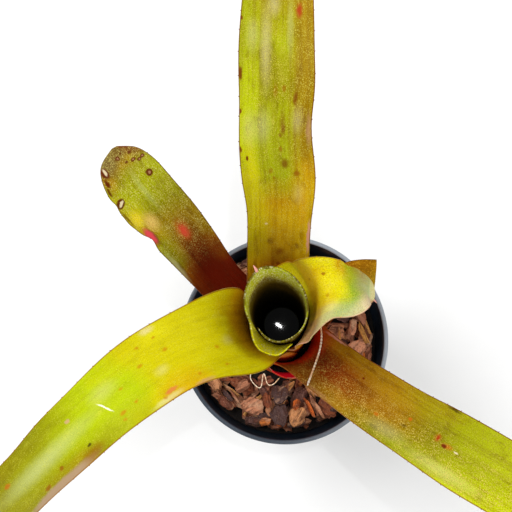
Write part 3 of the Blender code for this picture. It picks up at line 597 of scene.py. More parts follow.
def leaf_material(leaf, length):
    """Bands of colour along the leaf, fine ribs, scurf, marks and a thin margin line."""
    look = leaf.look
    g = Graph(leaf.name)
    place = g.attribute("leaf_place")
    along, _, side = g.split(place)
    under = g.attribute("leaf_under", "Fac")
    flow = g.vector("MULTIPLY", place, (1.0, 1.0, 0.0))
    broad = g.noise(flow, 55, 2)
    blotch = g.noise(place, (110.0, 230.0, 0.0), 3, 0.6)
    grain = g.noise(place, (14.0, 560.0, 0.0), 3, 0.6)
    ribs = g.noise(place, (25.0, 1500.0, 0.0), 2)
    fine_dust = g.noise(flow, 2900, 0)

    share = g.math("DIVIDE", g.plus(along, g.step(broad, 0.25, 0.75, -0.005, 0.005)),
                   length * MM)
    middle, left, right = (
        g.ramp(share, [(travel / length, tint) for travel, tint in stops or look.middle])
        for stops in (look.middle, look.left, look.right))
    wander = g.plus(side, g.step(grain, 0.3, 0.7, -0.07, 0.07))
    colour = g.tint(middle, left, wander, 0.10, 0.92)
    colour = g.tint(colour, right, wander, -0.15, -0.80)
    colour = g.tint(colour, look.streak, grain, 0.60, 0.34, look.streaks, "MULTIPLY")
    colour = g.tint(colour, look.streak, blotch, 0.48, 0.30, 1.3 * look.streaks, "MULTIPLY")
    marks = [Mark(*fields) for fields in MARKS.get(leaf.name, [])]
    colour = paint_marks(g, colour, flow, [mark for mark in marks if mark.soft > UNDER_SCURF])

    patchy = g.step(g.noise(flow, 170, 2), 0.35, 0.65, 0.45, 1.0)
    patchy = g.times(patchy, g.step(along, look.scurf_from * MM,
                                    (look.scurf_from + SCURF_RISE) * MM))
    patchy = g.times(patchy, g.step(side, -0.4, 0.6, 1.0, look.scurf_left))
    bloom = g.times(g.step(blotch, 0.56, 0.72, 0.0, 0.2), patchy)
    colour = g.mix(bloom, colour, look.scurf)
    specks = g.dots(flow, 1400, 0.40)
    fine_specks = g.dots(g.vector("ADD", flow, (0.3, 0.2, 0.0)), 2300, 0.44)
    colour = g.tint(colour, look.streak, fine_dust, 0.46, 0.30, 0.9, "MULTIPLY")
    for dots in (specks, fine_specks):
        amount = g.times(g.times(dots, patchy), look.scurf_amount)
        colour = g.mix(amount, colour, look.scurf)
    colour = paint_marks(g, colour, flow, [mark for mark in marks if mark.soft <= UNDER_SCURF])

    edge = g.step(g.math("ABSOLUTE", side), 0.965, 0.99, 0.0, 0.8)
    rim = g.tint(look.margin, look.right_margin or look.margin, side, 0.1, -0.1)
    colour = g.mix(edge, colour, rim)
    bands = g.step(g.noise(place, (240.0, 30.0, 0.0), 2), 0.4, 0.65)
    back = g.ramp(share, [(20 / length, FLAME), (50 / length, ORANGE), (85 / length, TAN),
                          (100 / length, look.under)])
    back = g.mix(g.times(bands, g.step(along, 0.05, 0.10, 0.1, 0.35)), back, SILVER)
    colour = g.mix(g.times(under, 0.9), colour, back)
    colour = g.mix(g.attribute("leaf_tooth", "Fac"), colour, look.margin)
    colour = g.mix(g.attribute("leaf_spine", "Fac"), colour, PINK)

    relief = g.plus(g.times(ribs, 0.7), g.times(specks, 0.5))
    g.bump(g.plus(relief, blotch), 0.5, 0.0004)
    roughness = g.step(grain, 0.3, 0.7, 0.40, 0.55)
    return g.finish(colour, roughness, Specular_IOR_Level=0.2, Specular_Tint=LEAF_SHEEN)


# Leaf sheets: sizes in millimetres of plant space

def tube_radius(height, layer):
    """Inner radius of a sheath that has so many layers inside it."""
    return CORE_RADIUS + CORE_FLARE * height + LAYER_PITCH * layer


def base_height(layer):
    """Height of a sheath's foot, lower for the outer ones."""
    return INNER_BASE - LAYER_DROP * layer


def smooth_knots(knots, rounds=4):
    """Cubic B-spline through a list of knots, by subdivision; the ends stay put."""
    for _ in range(rounds):
        middles = (knots[:-1] + knots[1:]) / 2
        inner = (knots[:-2] + 6 * knots[1:-1] + knots[2:]) / 8
        finer = np.empty((2 * len(knots) - 1, knots.shape[1]))
        finer[0::2] = np.vstack([knots[:1], inner, knots[-1:]])
        finer[1::2] = middles
        knots = finer
    return knots


def leaf_knots(leaf):
    """Rows of x, y, z, half width, section curvature and roll, from foot to tip."""
    azimuth = leaf.blade[0][2]
    foot = base_height(leaf.layer)
    clasping = []
    for share in np.linspace(0.0, 1.0, 5):
        height = foot + share * (leaf.rises_to - foot)
        radius = tube_radius(height, leaf.layer)
        half_width = math.radians(FOOT_WRAP) * radius * (1 - share) + leaf.clasp * share
        clasping.append((radius, height, azimuth, half_width, radius, 0))
    rows = []
    for reach, height, bearing, half_width, trough, roll in clasping + leaf.blade:
        rows.append((*polar(reach, math.radians(bearing)), height, half_width, 1 / trough,
                     math.radians(roll)))
    return np.array(rows, dtype=float)


def unit(vectors):
    """Vectors brought to a length of one."""
    return vectors / np.linalg.norm(vectors, axis=-1, keepdims=True)


def travel_along(path):
    """How far each point of a path is from its first, along the path."""
    steps = np.linalg.norm(np.diff(path, axis=0), axis=1)
    return np.concatenate([[0.0], np.cumsum(steps)])


@dataclass
class Sheet:
    """A grid of points on a leaf's upper face, the directions out of its under face, and
    for each point its travel, its distance across and its share across."""

    points: np.ndarray
    normals: np.ndarray
    travel: np.ndarray
    across: np.ndarray
    share: np.ndarray
    length: float


def leaf_sheet(leaf):
    """The leaf's upper face: sections with a trough and a roll along a smooth middle line,
    with waved margins and any bites out of them."""
    fine = smooth_knots(leaf_knots(leaf))
    travel = travel_along(fine[:, :3])
    length = travel[-1]
    main_run = np.linspace(0.0, length - TIP_RUN, round((length - TIP_RUN) / LEAF_STEP))
    tip_run = np.linspace(length - TIP_RUN, length, round(TIP_RUN / TIP_STEP))
    stations = np.append(main_run, tip_run[1:])
    sampled = np.array([np.interp(stations, travel, column) for column in fine.T]).T
    centre, half_width, curvature, roll = (
        sampled[:, None, :3], sampled[:, 3:4], sampled[:, 4:5], sampled[:, 5])
    ahead = unit(np.gradient(sampled[:, :3], stations, axis=0))
    lean_out = unit(fine[0, :2]) * OUTWARD_HEADING
    heading = unit(ahead[:, :2] + lean_out)
    across = np.column_stack([-heading[:, 1], heading[:, 0], np.zeros(len(heading))])
    across = unit(across - np.sum(across * ahead, axis=1, keepdims=True) * ahead)
    under = np.cross(across, ahead)
    cos, sin = np.cos(roll)[:, None], np.sin(roll)[:, None]
    across, under = across * cos + under * sin, under * cos - across * sin
    side = np.linspace(-1.0, 1.0, LEAF_COLUMNS + 1)[None, :]
    reach = side * half_width
    for travelled, edge, run, depth in leaf.bites:
        dip = depth * np.exp(-((stations[:, None] - travelled) / run) ** 2)
        reach = reach - edge * dip * np.clip(side * edge, 0.0, 1.0) ** 4
    angle = reach * curvature
    growth = np.clip((stations - RIPPLE_FROM) / RIPPLE_GROWTH, 0.0, 1.0)[:, None]
    ripple = (leaf.wave * growth * side**2 * np.minimum(1.0, half_width / 10)
              * np.sin(stations[:, None] / RIPPLE_LENGTH + 2.2 * side + leaf.layer))
    out = (np.sin(angle) / curvature)[..., None] * across[:, None, :]
    drop = ((1 - np.cos(angle)) / curvature + ripple)[..., None] * under[:, None, :]
    points = centre + out - drop
    normals = (np.cos(angle)[..., None] * under[:, None, :]
               + np.sin(angle)[..., None] * across[:, None, :])
    if any(leaf.spine):
        points[-1] = points[-1].mean(axis=0)
    shape = points.shape[:2]
    return Sheet(points, normals, np.broadcast_to(stations[:, None], shape),
                 reach, np.broadcast_to(side, shape), length)


def ease(value, start, end):
    """Rise smoothly from 0 at start to 1 at end."""
    share = np.clip((value - start) / (end - start), 0.0, 1.0)
    return share * share * (3 - 2 * share)


def mouth_height(azimuth):
    """Height of the tube's slanting mouth, with the leaf's tip at its high side."""
    slant = MOUTH_SLANT * np.cos(np.radians(azimuth - MOUTH_HIGH_SIDE))
    off_apex = (azimuth - APEX_AZIMUTH + 180) % 360 - 180
    apex = APEX_RISE * np.exp(-((off_apex / 22) ** 2))
    return MOUTH_HEIGHT + slant + apex


def rolled_sheet():
    """The centre leaf: a sheet rolled more than once round, which winds outward."""
    bearing = np.linspace(ROLL_START, ROLL_END, ROLL_COLUMNS + 1)[None, :]
    share = 1 - (1 - np.linspace(0.0, 1.0, ROLL_ROWS + 1)[:, None]) ** 1.6
    turns = (bearing - ROLL_START) / 360
    lip = ease(bearing, *LIP_RISE) * (1 - LIP_LOSS * ease(bearing, *LIP_FALL))
    top = mouth_height(bearing) - LIP_DROP * lip
    height = base_height(0) + share * (top - base_height(0))
    near_top = ease(height, top - FLARE_DEPTH, top)
    inner_lip = ease(bearing, *INNER_RISE) * (1 - ease(bearing, *INNER_FALL))
    high_side = np.maximum(0.0, np.cos(np.radians(bearing - MOUTH_HIGH_SIDE)))
    flare = near_top * (LIP_FLARE * lip + INNER_FLARE * inner_lip + HIGH_FLARE * high_side**2)
    radius = tube_radius(height, turns) + flare
    angle = np.broadcast_to(np.radians(bearing), height.shape)
    points = np.stack([radius * np.cos(angle), radius * np.sin(angle), height], axis=-1)
    normals = unit(np.cross(np.gradient(points, axis=1), np.gradient(points, axis=0)))
    side = np.broadcast_to(np.linspace(-1.0, 1.0, ROLL_COLUMNS + 1), height.shape)
    return Sheet(points, normals, top - height, angle * ARC_RADIUS, side, 100.0)


def round_rings(path, girth, across, other):
    """Rings of points of a girth round each point of a path, in two directions there."""
    turn = np.linspace(0.0, 2 * math.pi, RING_SIDES, endpoint=False)[None, :, None]
    spokes = np.cos(turn) * across[:, None] + np.sin(turn) * other[:, None]
    return path[:, None] + girth[:, None] * spokes


def cone_rings(base, start, end, radius, length, rounds=9):
    """A hooked cone: rings of points from its root to its sharp end."""
    share = np.linspace(0.0, 1.0, rounds)[:, None]
    path = base + (start * share + (end - start) * share**2 / 2) * length
    ahead = unit(np.gradient(path, axis=0))
    across = unit(np.cross(ahead, np.cross(start, end) + (0.01, 0.02, 0.03)))
    girth = radius * (1 - share) ** 0.7 + 0.04
    return round_rings(path, girth, across, np.cross(ahead, across))


def ring_faces(rings, first):
    """Side quads and end caps for a stack of closed rings."""
    rounds, sides = rings.shape[:2]
    faces = []
    for row in range(rounds - 1):
        for k in range(sides):
            low, after = first + row * sides, (k + 1) % sides
            faces.append([low + k, low + after, low + sides + after, low + sides + k])
    last = first + (rounds - 1) * sides
    faces.append([first + k for k in range(sides)][::-1])
    faces.append([last + k for k in range(sides)])
    return faces


def sheet_mesh(name, sheet, teeth=(), spines=()):
    """A closed leaf of the sheet's thickness, thin at its margins, with attributes for its
    material. Teeth are (point, outward, forward) and spines are rings, in plant space."""
    thin = np.sqrt(np.clip((1 - np.abs(sheet.share)) / 0.10, 0.0, 1.0))
    thickness = LEAF_THICKNESS * (0.4 + 0.6 * thin)[..., None]
    ring = np.concatenate([sheet.points, (sheet.points + sheet.normals * thickness)[:, ::-1]],
                          axis=1)
    rows, around = ring.shape[:2]
    half = around // 2
    base = np.arange(rows - 1)[:, None] * around + np.arange(around)[None, :]
    step = np.arange(rows - 1)[:, None] * around + (np.arange(around) + 1)[None, :] % around
    quads = np.stack([base, step, step + around, base + around], axis=-1).reshape(-1, 4)
    faces = quads.tolist()
    for row, flip in ((0, True), (rows - 1, False)):
        for column in range(half - 1):
            corners = [row * around + column, row * around + column + 1,
                       row * around + around - 2 - column, row * around + around - 1 - column]
            faces.append(corners[::-1] if flip else corners)
    stacked = [np.concatenate([grid, grid[:, ::-1]], axis=1).reshape(-1)
               for grid in (sheet.travel * MM, sheet.across * MM, sheet.share)]
    verts = ring.reshape(-1, 3).tolist()
    place = np.column_stack(stacked).tolist()
    under = np.tile(np.repeat([0.0, 1.0], half), rows).tolist()
    tooth = [0.0] * len(verts)
    spiny = [0.0] * len(verts)

    def extend(points, toothed, spined):
        """Add the points of a tooth or of a spine."""
        verts.extend(point.tolist() for point in points)
        place.extend([[0.0, 0.0, 0.0]] * len(points))
        under.extend([0.0] * len(points))
        tooth.extend([toothed] * len(points))
        spiny.extend([spined] * len(points))

    for point, outward, forward in teeth:
        first = len(verts)
        lift = np.cross(outward, forward)
        corners = [point - outward * TOOTH_SINK + corner for corner in (
            forward * TOOTH_HALF, lift * TOOTH_THICK, -forward * TOOTH_HALF, -lift * TOOTH_THICK)]
        extend(corners + [point + outward * TOOTH_REACH + forward * TOOTH_HALF], 1.0, 0.0)
        faces += [[first + k, first + (k + 1) % 4, first + 4] for k in range(4)]
        faces.append([first + 3, first + 2, first + 1, first])
    for rings in spines:
        faces += ring_faces(rings, len(verts))
        extend(rings.reshape(-1, 3), 0.0, 1.0)

    mesh = mesh_with(name, verts, faces, leaf_place=place, leaf_under=under,
                     leaf_tooth=tooth, leaf_spine=spiny)
    mesh.transform(AXIS @ Matrix.Scale(MM, 4))
    return tidy_mesh(mesh, 50)


def tidy_mesh(mesh, sharp_angle):
    """Face every face outward and smooth all but the sharp edges."""
    bm = bmesh.new()
    bm.from_mesh(mesh)
    bmesh.ops.dissolve_degenerate(bm, edges=bm.edges, dist=0.000001)
    bmesh.ops.recalc_face_normals(bm, faces=bm.faces)
    bm.to_mesh(mesh)
    bm.free()
    mesh.shade_smooth()
    mesh.set_sharp_from_angle(angle=math.radians(sharp_angle))
    return mesh


def margin_teeth(leaf, sheet):
    """A small hooked tooth on both margins at each of the solid's rows."""
    if not leaf.has_teeth:
        return []
    straight = max(6.0, leaf.rises_to - base_height(leaf.layer) - SHORT_OF_BEND)
    rows = round((sheet.length - straight) / leaf.row_length)
    spacing = (sheet.length - straight) / rows
    teeth = []
    travel = sheet.travel[:, 0]
    for index in range(2, rows - 1):
        row = int(np.argmin(np.abs(travel - straight - (index + 0.5) * spacing)))
        for edge, inside in ((0, 1), (-1, -2)):
            point = sheet.points[row, edge] + sheet.normals[row, edge] * TOOTH_SINK
            forward = unit(sheet.points[row + 1, edge] - sheet.points[row - 1, edge])
            outward = sheet.points[row, edge] - sheet.points[row, inside]
            teeth.append((point, unit(outward - outward @ forward * forward), forward))
    return teeth


def add_piece(name, mesh, node, material):
    """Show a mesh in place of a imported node."""
    piece = link(name, mesh)
    mesh.materials.clear()
    mesh.materials.append(material)
    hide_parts(node)
    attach(piece, "root")
    return piece


def make_leaves():
    """Every leaf but the centre one; returns their sheets by name."""
    sheets = {}
    for leaf in LEAVES:
        sheet = leaf_sheet(leaf)
        spines = []
        if any(leaf.spine):
            reach = np.array(leaf.spine, dtype=float)
            ahead = sheet.points[-1, 0] - sheet.points[-4].mean(axis=0)
            root = sheet.points[-1, 0] + sheet.normals[-1, LEAF_COLUMNS // 2] * 0.4
            spines.append(cone_rings(root, unit(ahead), unit(2 * reach - unit(ahead)),
                                     SPINE_RADIUS, float(np.linalg.norm(reach))))
        mesh = sheet_mesh(leaf.name + "_sheet", sheet, margin_teeth(leaf, sheet), spines)
        material = leaf_material(leaf, sheet.length)
        add_piece("fine_" + leaf.name, mesh, leaf.name, material)
        sheets[leaf.name] = sheet
    return sheets


def centre_material():
    """Silver and gold scurf round the mouth, over green that darkens with depth into painted shade
    down the tube.
    """
    g = Graph("centre_leaf")
    place = g.attribute("leaf_place")
    depth, _, side = g.split(place)
    under = g.attribute("leaf_under", "Fac")
    flow = g.vector("MULTIPLY", place, (1.0, 1.0, 0.0))
    broad = g.noise(flow, 90, 2)
    dust = g.noise(flow, 1300, 1)
    fine_dust = g.noise(flow, 2900, 0)
    ribs = g.noise(place, (30.0, 1500.0, 0.0), 2)
    uneven = g.plus(depth, g.step(broad, 0.3, 0.7, -0.003, 0.003))
    # Painted shade down the tube: the inner face runs from yellow-green at the mouth to near black
    # with depth.
    colour = g.ramp(g.math("DIVIDE", uneven, 0.05), [
        (0.0, srgb(120, 110, 20)), (0.03, srgb(192, 200, 26)), (0.18, srgb(172, 166, 6)),
        (0.32, srgb(112, 92, 4)), (0.5, srgb(60, 42, 4)), (0.8, srgb(16, 12, 4))])
    lip = g.times(g.step(side, 0.55, 0.64), g.step(depth, 0.024, 0.010))
    colour = g.mix(lip, colour, srgb(222, 214, 4))
    fade = g.step(depth, 0.026, 0.004)
    silver = g.times(fade, g.step(side, 0.5, 0.3, 0.55, 1.0))
    for scale, tint in ((900, srgb(226, 222, 150)), (1500, srgb(240, 236, 190))):
        dots = g.times(g.dots(flow, scale, 0.42), silver)
        colour = g.mix(g.times(dots, 0.8), colour, tint)
    colour = g.tint(colour, srgb(60, 46, 4), fine_dust, 0.44, 0.32, 0.55)
    colour = g.tint(colour, DARK_BROWN, side, -0.985, -0.995)
    outside = g.ramp(g.math("DIVIDE", depth, 0.09), [
        (0.0, srgb(70, 52, 6)), (0.02, srgb(110, 92, 8)), (0.08, srgb(160, 140, 8)),
        (0.3, OLIVE), (0.7, RUST), (1.0, DARK_RED)])
    outside = g.tint(outside, SILVER, dust, 0.55, 0.65, 0.35)
    colour = g.mix(under, colour, outside)
    colour = g.mix(g.attribute("leaf_spine", "Fac"), colour, PINK)
    g.bump(g.plus(ribs, dust), 0.4, 0.0004)
    return g.finish(colour, 0.5, Specular_IOR_Level=0.15, Specular_Tint=LEAF_SHEEN)


def make_centre_leaf():
    """The rolled leaf with the hooked spine that stands off its tip."""
    sheet = rolled_sheet()
    column = round((HOOK_BEARING - ROLL_START) / (ROLL_END - ROLL_START) * ROLL_COLUMNS)
    root = sheet.points[-1, column] + sheet.normals[-1, column] * 0.4 - (0, 0, 0.4)
    turn = math.radians(HOOK_BEARING)
    outward = np.array([math.cos(turn), math.sin(turn), 0.0])
    hook = cone_rings(root, unit(outward * 0.5 + (0, 0, 1.0)), unit(outward - (0, 0, 0.15)),
                      HOOK_RADIUS, HOOK_LENGTH, rounds=12)
    mesh = sheet_mesh("leaf_1_centre_sheet", sheet, spines=[hook])
    add_piece("fine_leaf_1_centre", mesh, "leaf_1_centre", centre_material())


# Torn margin fibres

def sheet_place(sheet, travel, share):
    """Point and normal of a sheet at a travel and a share across it."""
    row = float(np.interp(travel, sheet.travel[:, 0], np.arange(len(sheet.travel))))
    column = (share + 1) / 2 * LEAF_COLUMNS
    low, left = min(int(row), len(sheet.travel) - 2), min(int(column), LEAF_COLUMNS - 1)
    blend_row, blend_column = row - low, column - left
    found = []
    for grid in (sheet.points, sheet.normals):
        near = grid[low, left] * (1 - blend_column) + grid[low, left + 1] * blend_column
        far = grid[low + 1, left] * (1 - blend_column) + grid[low + 1, left + 1] * blend_column
        found.append(near * (1 - blend_row) + far * blend_row)
    return found


def fibre_rings(path, radius, plies=1):
    """Round fibres that follow a path; two plies twist round each other."""
    ahead = unit(np.gradient(path, axis=0))
    run = travel_along(path)
    across = unit(np.cross(ahead, (0.1, 0.2, 1.0)))
    other = np.cross(ahead, across)
    taper = np.clip(np.minimum(run, run[-1] - run) / 1.2, 0.25, 1.0)[:, None]
    stacks = []
    for ply in range(plies):
        phase = 2 * math.pi * (run / PLY_PITCH + ply / plies)[:, None]
        shift = (0.85 * radius * (plies > 1) * taper
                 * (np.cos(phase) * across + np.sin(phase) * other))
        stacks.append(round_rings(path + shift, radius * taper, across, other))
    return stacks


def fibre_mesh(name, stacks):
    """Fibres as one mesh, with each point's travel along its own fibre as an attribute."""
    verts, faces, travels = [], [], []
    for rings in stacks:
        faces += ring_faces(rings, len(verts))
        verts += rings.reshape(-1, 3).tolist()
        travels += np.repeat(travel_along(rings.mean(axis=1)), rings.shape[1]).tolist()
    mesh = mesh_with(name, verts, faces, fibre_travel=travels)
    mesh.transform(AXIS @ Matrix.Scale(MM, 4))
    return tidy_mesh(mesh, 60)


def fibre_material():
    """Dry cream fibre, browned in places, with fine lengthwise hairs and brown bands along it that
    are partly painted shade of the crevices between plies.
    """
    g = Graph("margin_fibre")
    spot = g.position()
    stain = g.noise(spot, 130, 3)
    hairs = g.noise(spot, (2600.0, 2600.0, 900.0), 3, 0.6)
    colour = g.ramp(stain, [(0.35, srgb(240, 202, 156)), (0.5, srgb(255, 240, 212)),
                            (0.7, srgb(255, 250, 236))])
    colour = g.tint(colour, srgb(196, 150, 104), hairs, 0.44, 0.32, 0.2)
    travel = g.attribute("fibre_travel", "Fac")
    # Brown bands along the fibre: the fibre's own browning and painted shade of the crevices
    # between twisted plies.
    wave = g.math("SINE", g.times(travel, 2 * math.pi / FIBRE_BROWN_AND_SHADE_BAND))
    colour = g.tint(colour, srgb(176, 100, 52), wave, -0.2, -0.9, 0.5)
    g.bump(hairs, 0.5, 0.0002)
    return g.finish(colour, 0.75, Specular_IOR_Level=0.2)


def make_fibres(under_leaf):
    """The strand that lies across a leaf, and the loops over the bark."""
    material = fibre_material()
    path = []
    for share in np.linspace(0.0, 1.0, 70):
        travel = np.interp(share, (0, 1), STRAND_TRAVEL)
        point, normal = sheet_place(under_leaf, travel, 1 - 2 * share)
        path.append(point - normal * STRAND_LIFT)
    strand = fibre_mesh("strand_plies", fibre_rings(np.array(path), PLY_RADIUS, plies=2))
    add_piece("fine_margin_strand", strand, "margin_strand", material)
    knots = np.array([(*polar(reach, math.radians(azimuth)), height)
                      for reach, azimuth, height in LOOP_KNOTS])
    loops = fibre_mesh("loop_fibres", fibre_rings(smooth_knots(knots), LOOP_RADIUS))
    add_piece("fine_margin_loops", loops, "margin_loops", material)


# Pot

def wall_radius(height):
    """Outer radius of the pot's tapered wall, without the rim."""
    top = POT_RADIUS - RIM_WIDTH + WALL
    heel = FOOT_RADIUS + 0.0015
    return heel + (height - HEEL_HEIGHT) / (POT_HEIGHT - HEEL_HEIGHT) * (top - heel)


def pot_material():
    """Black moulded plastic with fine scratches and dust, and a slate rim top whose colour is a
    painted sheen, brighter toward +x and +y.
    """
    g = Graph("pot_plastic")
    spot = g.position()
    x, y, z = g.split(spot)
    fine = g.noise(spot, 900, 3)
    broad = g.noise(spot, 60, 3)
    rings = g.noise(spot, (4.0, 4.0, 900.0), 1)
    colour = g.tint(srgb(13, 23, 35), srgb(26, 40, 54), broad, 0.4, 0.7, 0.5)
    rim = g.step(z, POT_HEIGHT - 0.0012, POT_HEIGHT - 0.0004)
    # Painted sheen: the rim top is slate, dark on the -x, -y side and light on the +x, +y side.
    across = g.plus(g.times(x, 0.8), g.times(y, 0.6))
    rim_painted_sheen = g.tint(srgb(54, 64, 76), srgb(150, 158, 168), across, -0.05, 0.05)
    colour = g.mix(g.times(rim, 0.9), colour, rim_painted_sheen)
    colour = g.tint(colour, srgb(96, 98, 100), fine, 0.62, 0.70, 0.25)
    g.bump(g.plus(fine, g.times(rings, 0.6)), 0.15, 0.0003)
    roughness = g.step(broad, 0.3, 0.7, 0.30, 0.45)
    return g.finish(colour, roughness, Specular_IOR_Level=0.4)


def make_pot():
    """A turned pot with a stepped rim and a foot ring."""
    edge = 0.0005
    rim_foot = POT_HEIGHT - RIM_DEPTH
    profile = [
        (POT_RADIUS - 0.0004, POT_HEIGHT), (POT_RADIUS - 0.0001, POT_HEIGHT - 0.0002),
        (POT_RADIUS, POT_HEIGHT - edge), (POT_RADIUS - edge, rim_foot),
        (wall_radius(rim_foot), rim_foot - edge), (wall_radius(HEEL_HEIGHT), HEEL_HEIGHT),
        (FOOT_RADIUS + 0.0004, 0.0008), (FOOT_RADIUS, 0.0), (0.034, 0.0),
        (0.0335, UNDERSIDE), (0.012, UNDERSIDE), (0.0, UNDERSIDE), (0.0, FLOOR),
        (FOOT_RADIUS - WALL, FLOOR), (wall_radius(HEEL_HEIGHT) - WALL, HEEL_HEIGHT + FLOOR),
        (POT_RADIUS - RIM_WIDTH - edge, rim_foot), (POT_RADIUS - RIM_WIDTH, POT_HEIGHT - edge),
        (POT_RADIUS - RIM_WIDTH + 0.0002, POT_HEIGHT - 0.0002),
        (POT_RADIUS - RIM_WIDTH + edge, POT_HEIGHT)]
    bm = bmesh.new()
    points = [bm.verts.new((x, 0.0, z)) for x, z in profile]
    edges = [bm.edges.new(pair) for pair in zip(points, points[1:] + points[:1])
             if pair[0].co.x > 0.0 or pair[1].co.x > 0.0]
    bmesh.ops.spin(bm, geom=points + edges, cent=(0, 0, 0), axis=(0, 0, 1),
                   angle=2 * math.pi, steps=POT_STEPS)
    bmesh.ops.remove_doubles(bm, verts=bm.verts, dist=0.00001)
    bmesh.ops.recalc_face_normals(bm, faces=bm.faces)
    pot = add_piece("fine_pot", mesh_from("pot_body", bm), "pot",
                    pot_material())
    cut_drain_holes(pot)
    pot.data.shade_smooth()
    pot.data.set_sharp_from_angle(angle=math.radians(40))


def cut_drain_holes(pot):
    """Cut the ring of holes through the pot's floor."""
    bm = bmesh.new()
    for k in range(DRAIN_HOLES):
        place = (*polar(DRAIN_REACH, 2 * math.pi * k / DRAIN_HOLES), 0.0)
        bmesh.ops.create_cone(bm, cap_ends=True, segments=32, radius1=DRAIN_RADIUS,
                              radius2=DRAIN_RADIUS, depth=4 * FLOOR,
                              matrix=Matrix.Translation(place))
    cutter = link("drain_cutter", mesh_from("drain_cutter", bm))
    cut = pot.modifiers.new("drain", "BOOLEAN")
    cut.operation = "DIFFERENCE"
    cut.solver = "EXACT"
    cut.object = cutter
    view = bpy.context.evaluated_depsgraph_get()
    drained = bpy.data.meshes.new_from_object(pot.evaluated_get(view))
    pot.modifiers.remove(cut)
    pot.data = drained
    bpy.data.objects.remove(cutter)


# Bark

BARK_SEED = 11
BARK_LEVEL = 0.0820
BARK_TOP = 0.0945
SHOWN_TOP = 0.0985
BARK_REACH = 0.0552
STEM_CLEAR = 0.0212
CELL = 0.0006
BED_CELL = 0.0011
BED_RINGS = 51
BED_FOOT = 0.0023
BED_CRUMB = 0.0009
OUTLINE_POINTS = 24
LAYERS = 3

# Tones of bark, from 0 to 1 in the material's ramp
DARK, RUSSET, DUSTY, TAN_BARK, GOLDEN, ORANGE_BARK = 0.05, 0.25, 0.45, 0.62, 0.80, 0.96

# Chips dropped by chance: how many, longest side, breadth over length, thickness, tones,
# and whether they lie anywhere or along the pot's wall
CHIP_KINDS = [
    (150, (5, 9), (0.45, 0.9), (1.2, 2.6), (DARK, RUSSET, RUSSET), "any"),
    (160, (8, 14), (0.4, 0.8), (1.4, 3.0), (DARK, RUSSET, DUSTY, TAN_BARK), "any"),
    (150, (8, 14), (0.35, 0.6), (1.4, 2.8), (DARK, RUSSET, DUSTY, TAN_BARK), "wall"),
    (60, (12, 22), (0.12, 0.22), (1.0, 2.0), (RUSSET, DUSTY, GOLDEN, ORANGE_BARK), "any"),
    (150, (12, 19), (0.6, 0.9), (1.6, 3.2), (DARK, RUSSET, DUSTY, TAN_BARK, TAN_BARK), "any"),
    (60, (7, 12), (0.2, 0.6), (1.0, 2.0), (DARK, RUSSET, GOLDEN, ORANGE_BARK), "wall"),
]

# Chips that show on top: x, y, direction in degrees, length, breadth, thickness in mm, tone
SHOWN_CHIPS = [
    (42.3, -5.0, 60, 14, 12, 2.2, TAN_BARK), (40.6, 7.0, 80, 13, 5.5, 2.4, TAN_BARK),
    (46.6, 2.8, 112, 17, 3.4, 1.8, GOLDEN), (33.0, 2.0, 95, 12, 1.8, 1.4, GOLDEN),
    (36.0, -8.0, 20, 9, 5, 2.2, DARK), (46.5, 12.0, 100, 11, 6, 2.0, DUSTY),
    (-17.6, -38.4, 35, 17, 12.5, 2.8, TAN_BARK), (-3.1, -32.6, 75, 12, 10, 3.4, DARK),
    (-2.6, -44.2, 120, 13, 11, 3.4, DARK), (7.0, -44.8, 60, 12.5, 10, 2.2, TAN_BARK),
    (6.7, -38.3, 80, 8, 4, 2.0, ORANGE_BARK), (-31.0, -30.0, 140, 15, 2.4, 1.6, GOLDEN),
    (-29.5, -33.0, 128, 13, 2.0, 1.4, DUSTY), (14.7, -40.0, 118, 15, 2.6, 1.8, ORANGE_BARK),
    (17.5, -39.0, 112, 15, 2.2, 1.6, DUSTY), (20.0, -41.0, 122, 13, 2.4, 1.6, TAN_BARK),
    (-10.5, -36.0, 100, 9, 5, 2.2, RUSSET), (-11.0, -47.5, 10, 8, 5, 2.0, ORANGE_BARK),
    (-24.5, -27.5, 30, 11, 7, 2.4, DUSTY),
]


def chip_outline(dice, long, broad):
    """Corners of a broken slab, joined by straight edges with jagged ends."""
    corners = dice.choice([5, 6, 6, 7])
    bearings = [2 * math.pi * (k + dice.uniform(-0.3, 0.3)) / corners for k in range(corners)]
    hooks = []
    for bearing in bearings:
        box = 1 / max(abs(math.cos(bearing)), abs(math.sin(bearing)))
        reach = min(box, 1.22) * dice.uniform(0.80, 1.0)
        hooks.append(Vector((reach * math.cos(bearing) * long / 2,
                             reach * math.sin(bearing) * broad / 2)))
    steps = [hook - before for before, hook in zip(hooks, hooks[1:] + hooks[:1])]
    perimeter = sum(step.length for step in steps)
    outline = []
    for k in range(OUTLINE_POINTS):
        left = perimeter * k / OUTLINE_POINTS
        for corner, step in zip(hooks, steps):
            if left <= step.length:
                point = corner + step * (left / step.length)
                break
            left -= step.length
        end = min(1.0, abs(point.x) / (long / 2)) ** 3
        point.x += dice.uniform(-1, 1) * (0.10 * min(long, 2 * broad) * end + 0.0001)
        point.y += dice.uniform(-1, 1) * 0.03 * broad
        outline.append(point)
    return outline


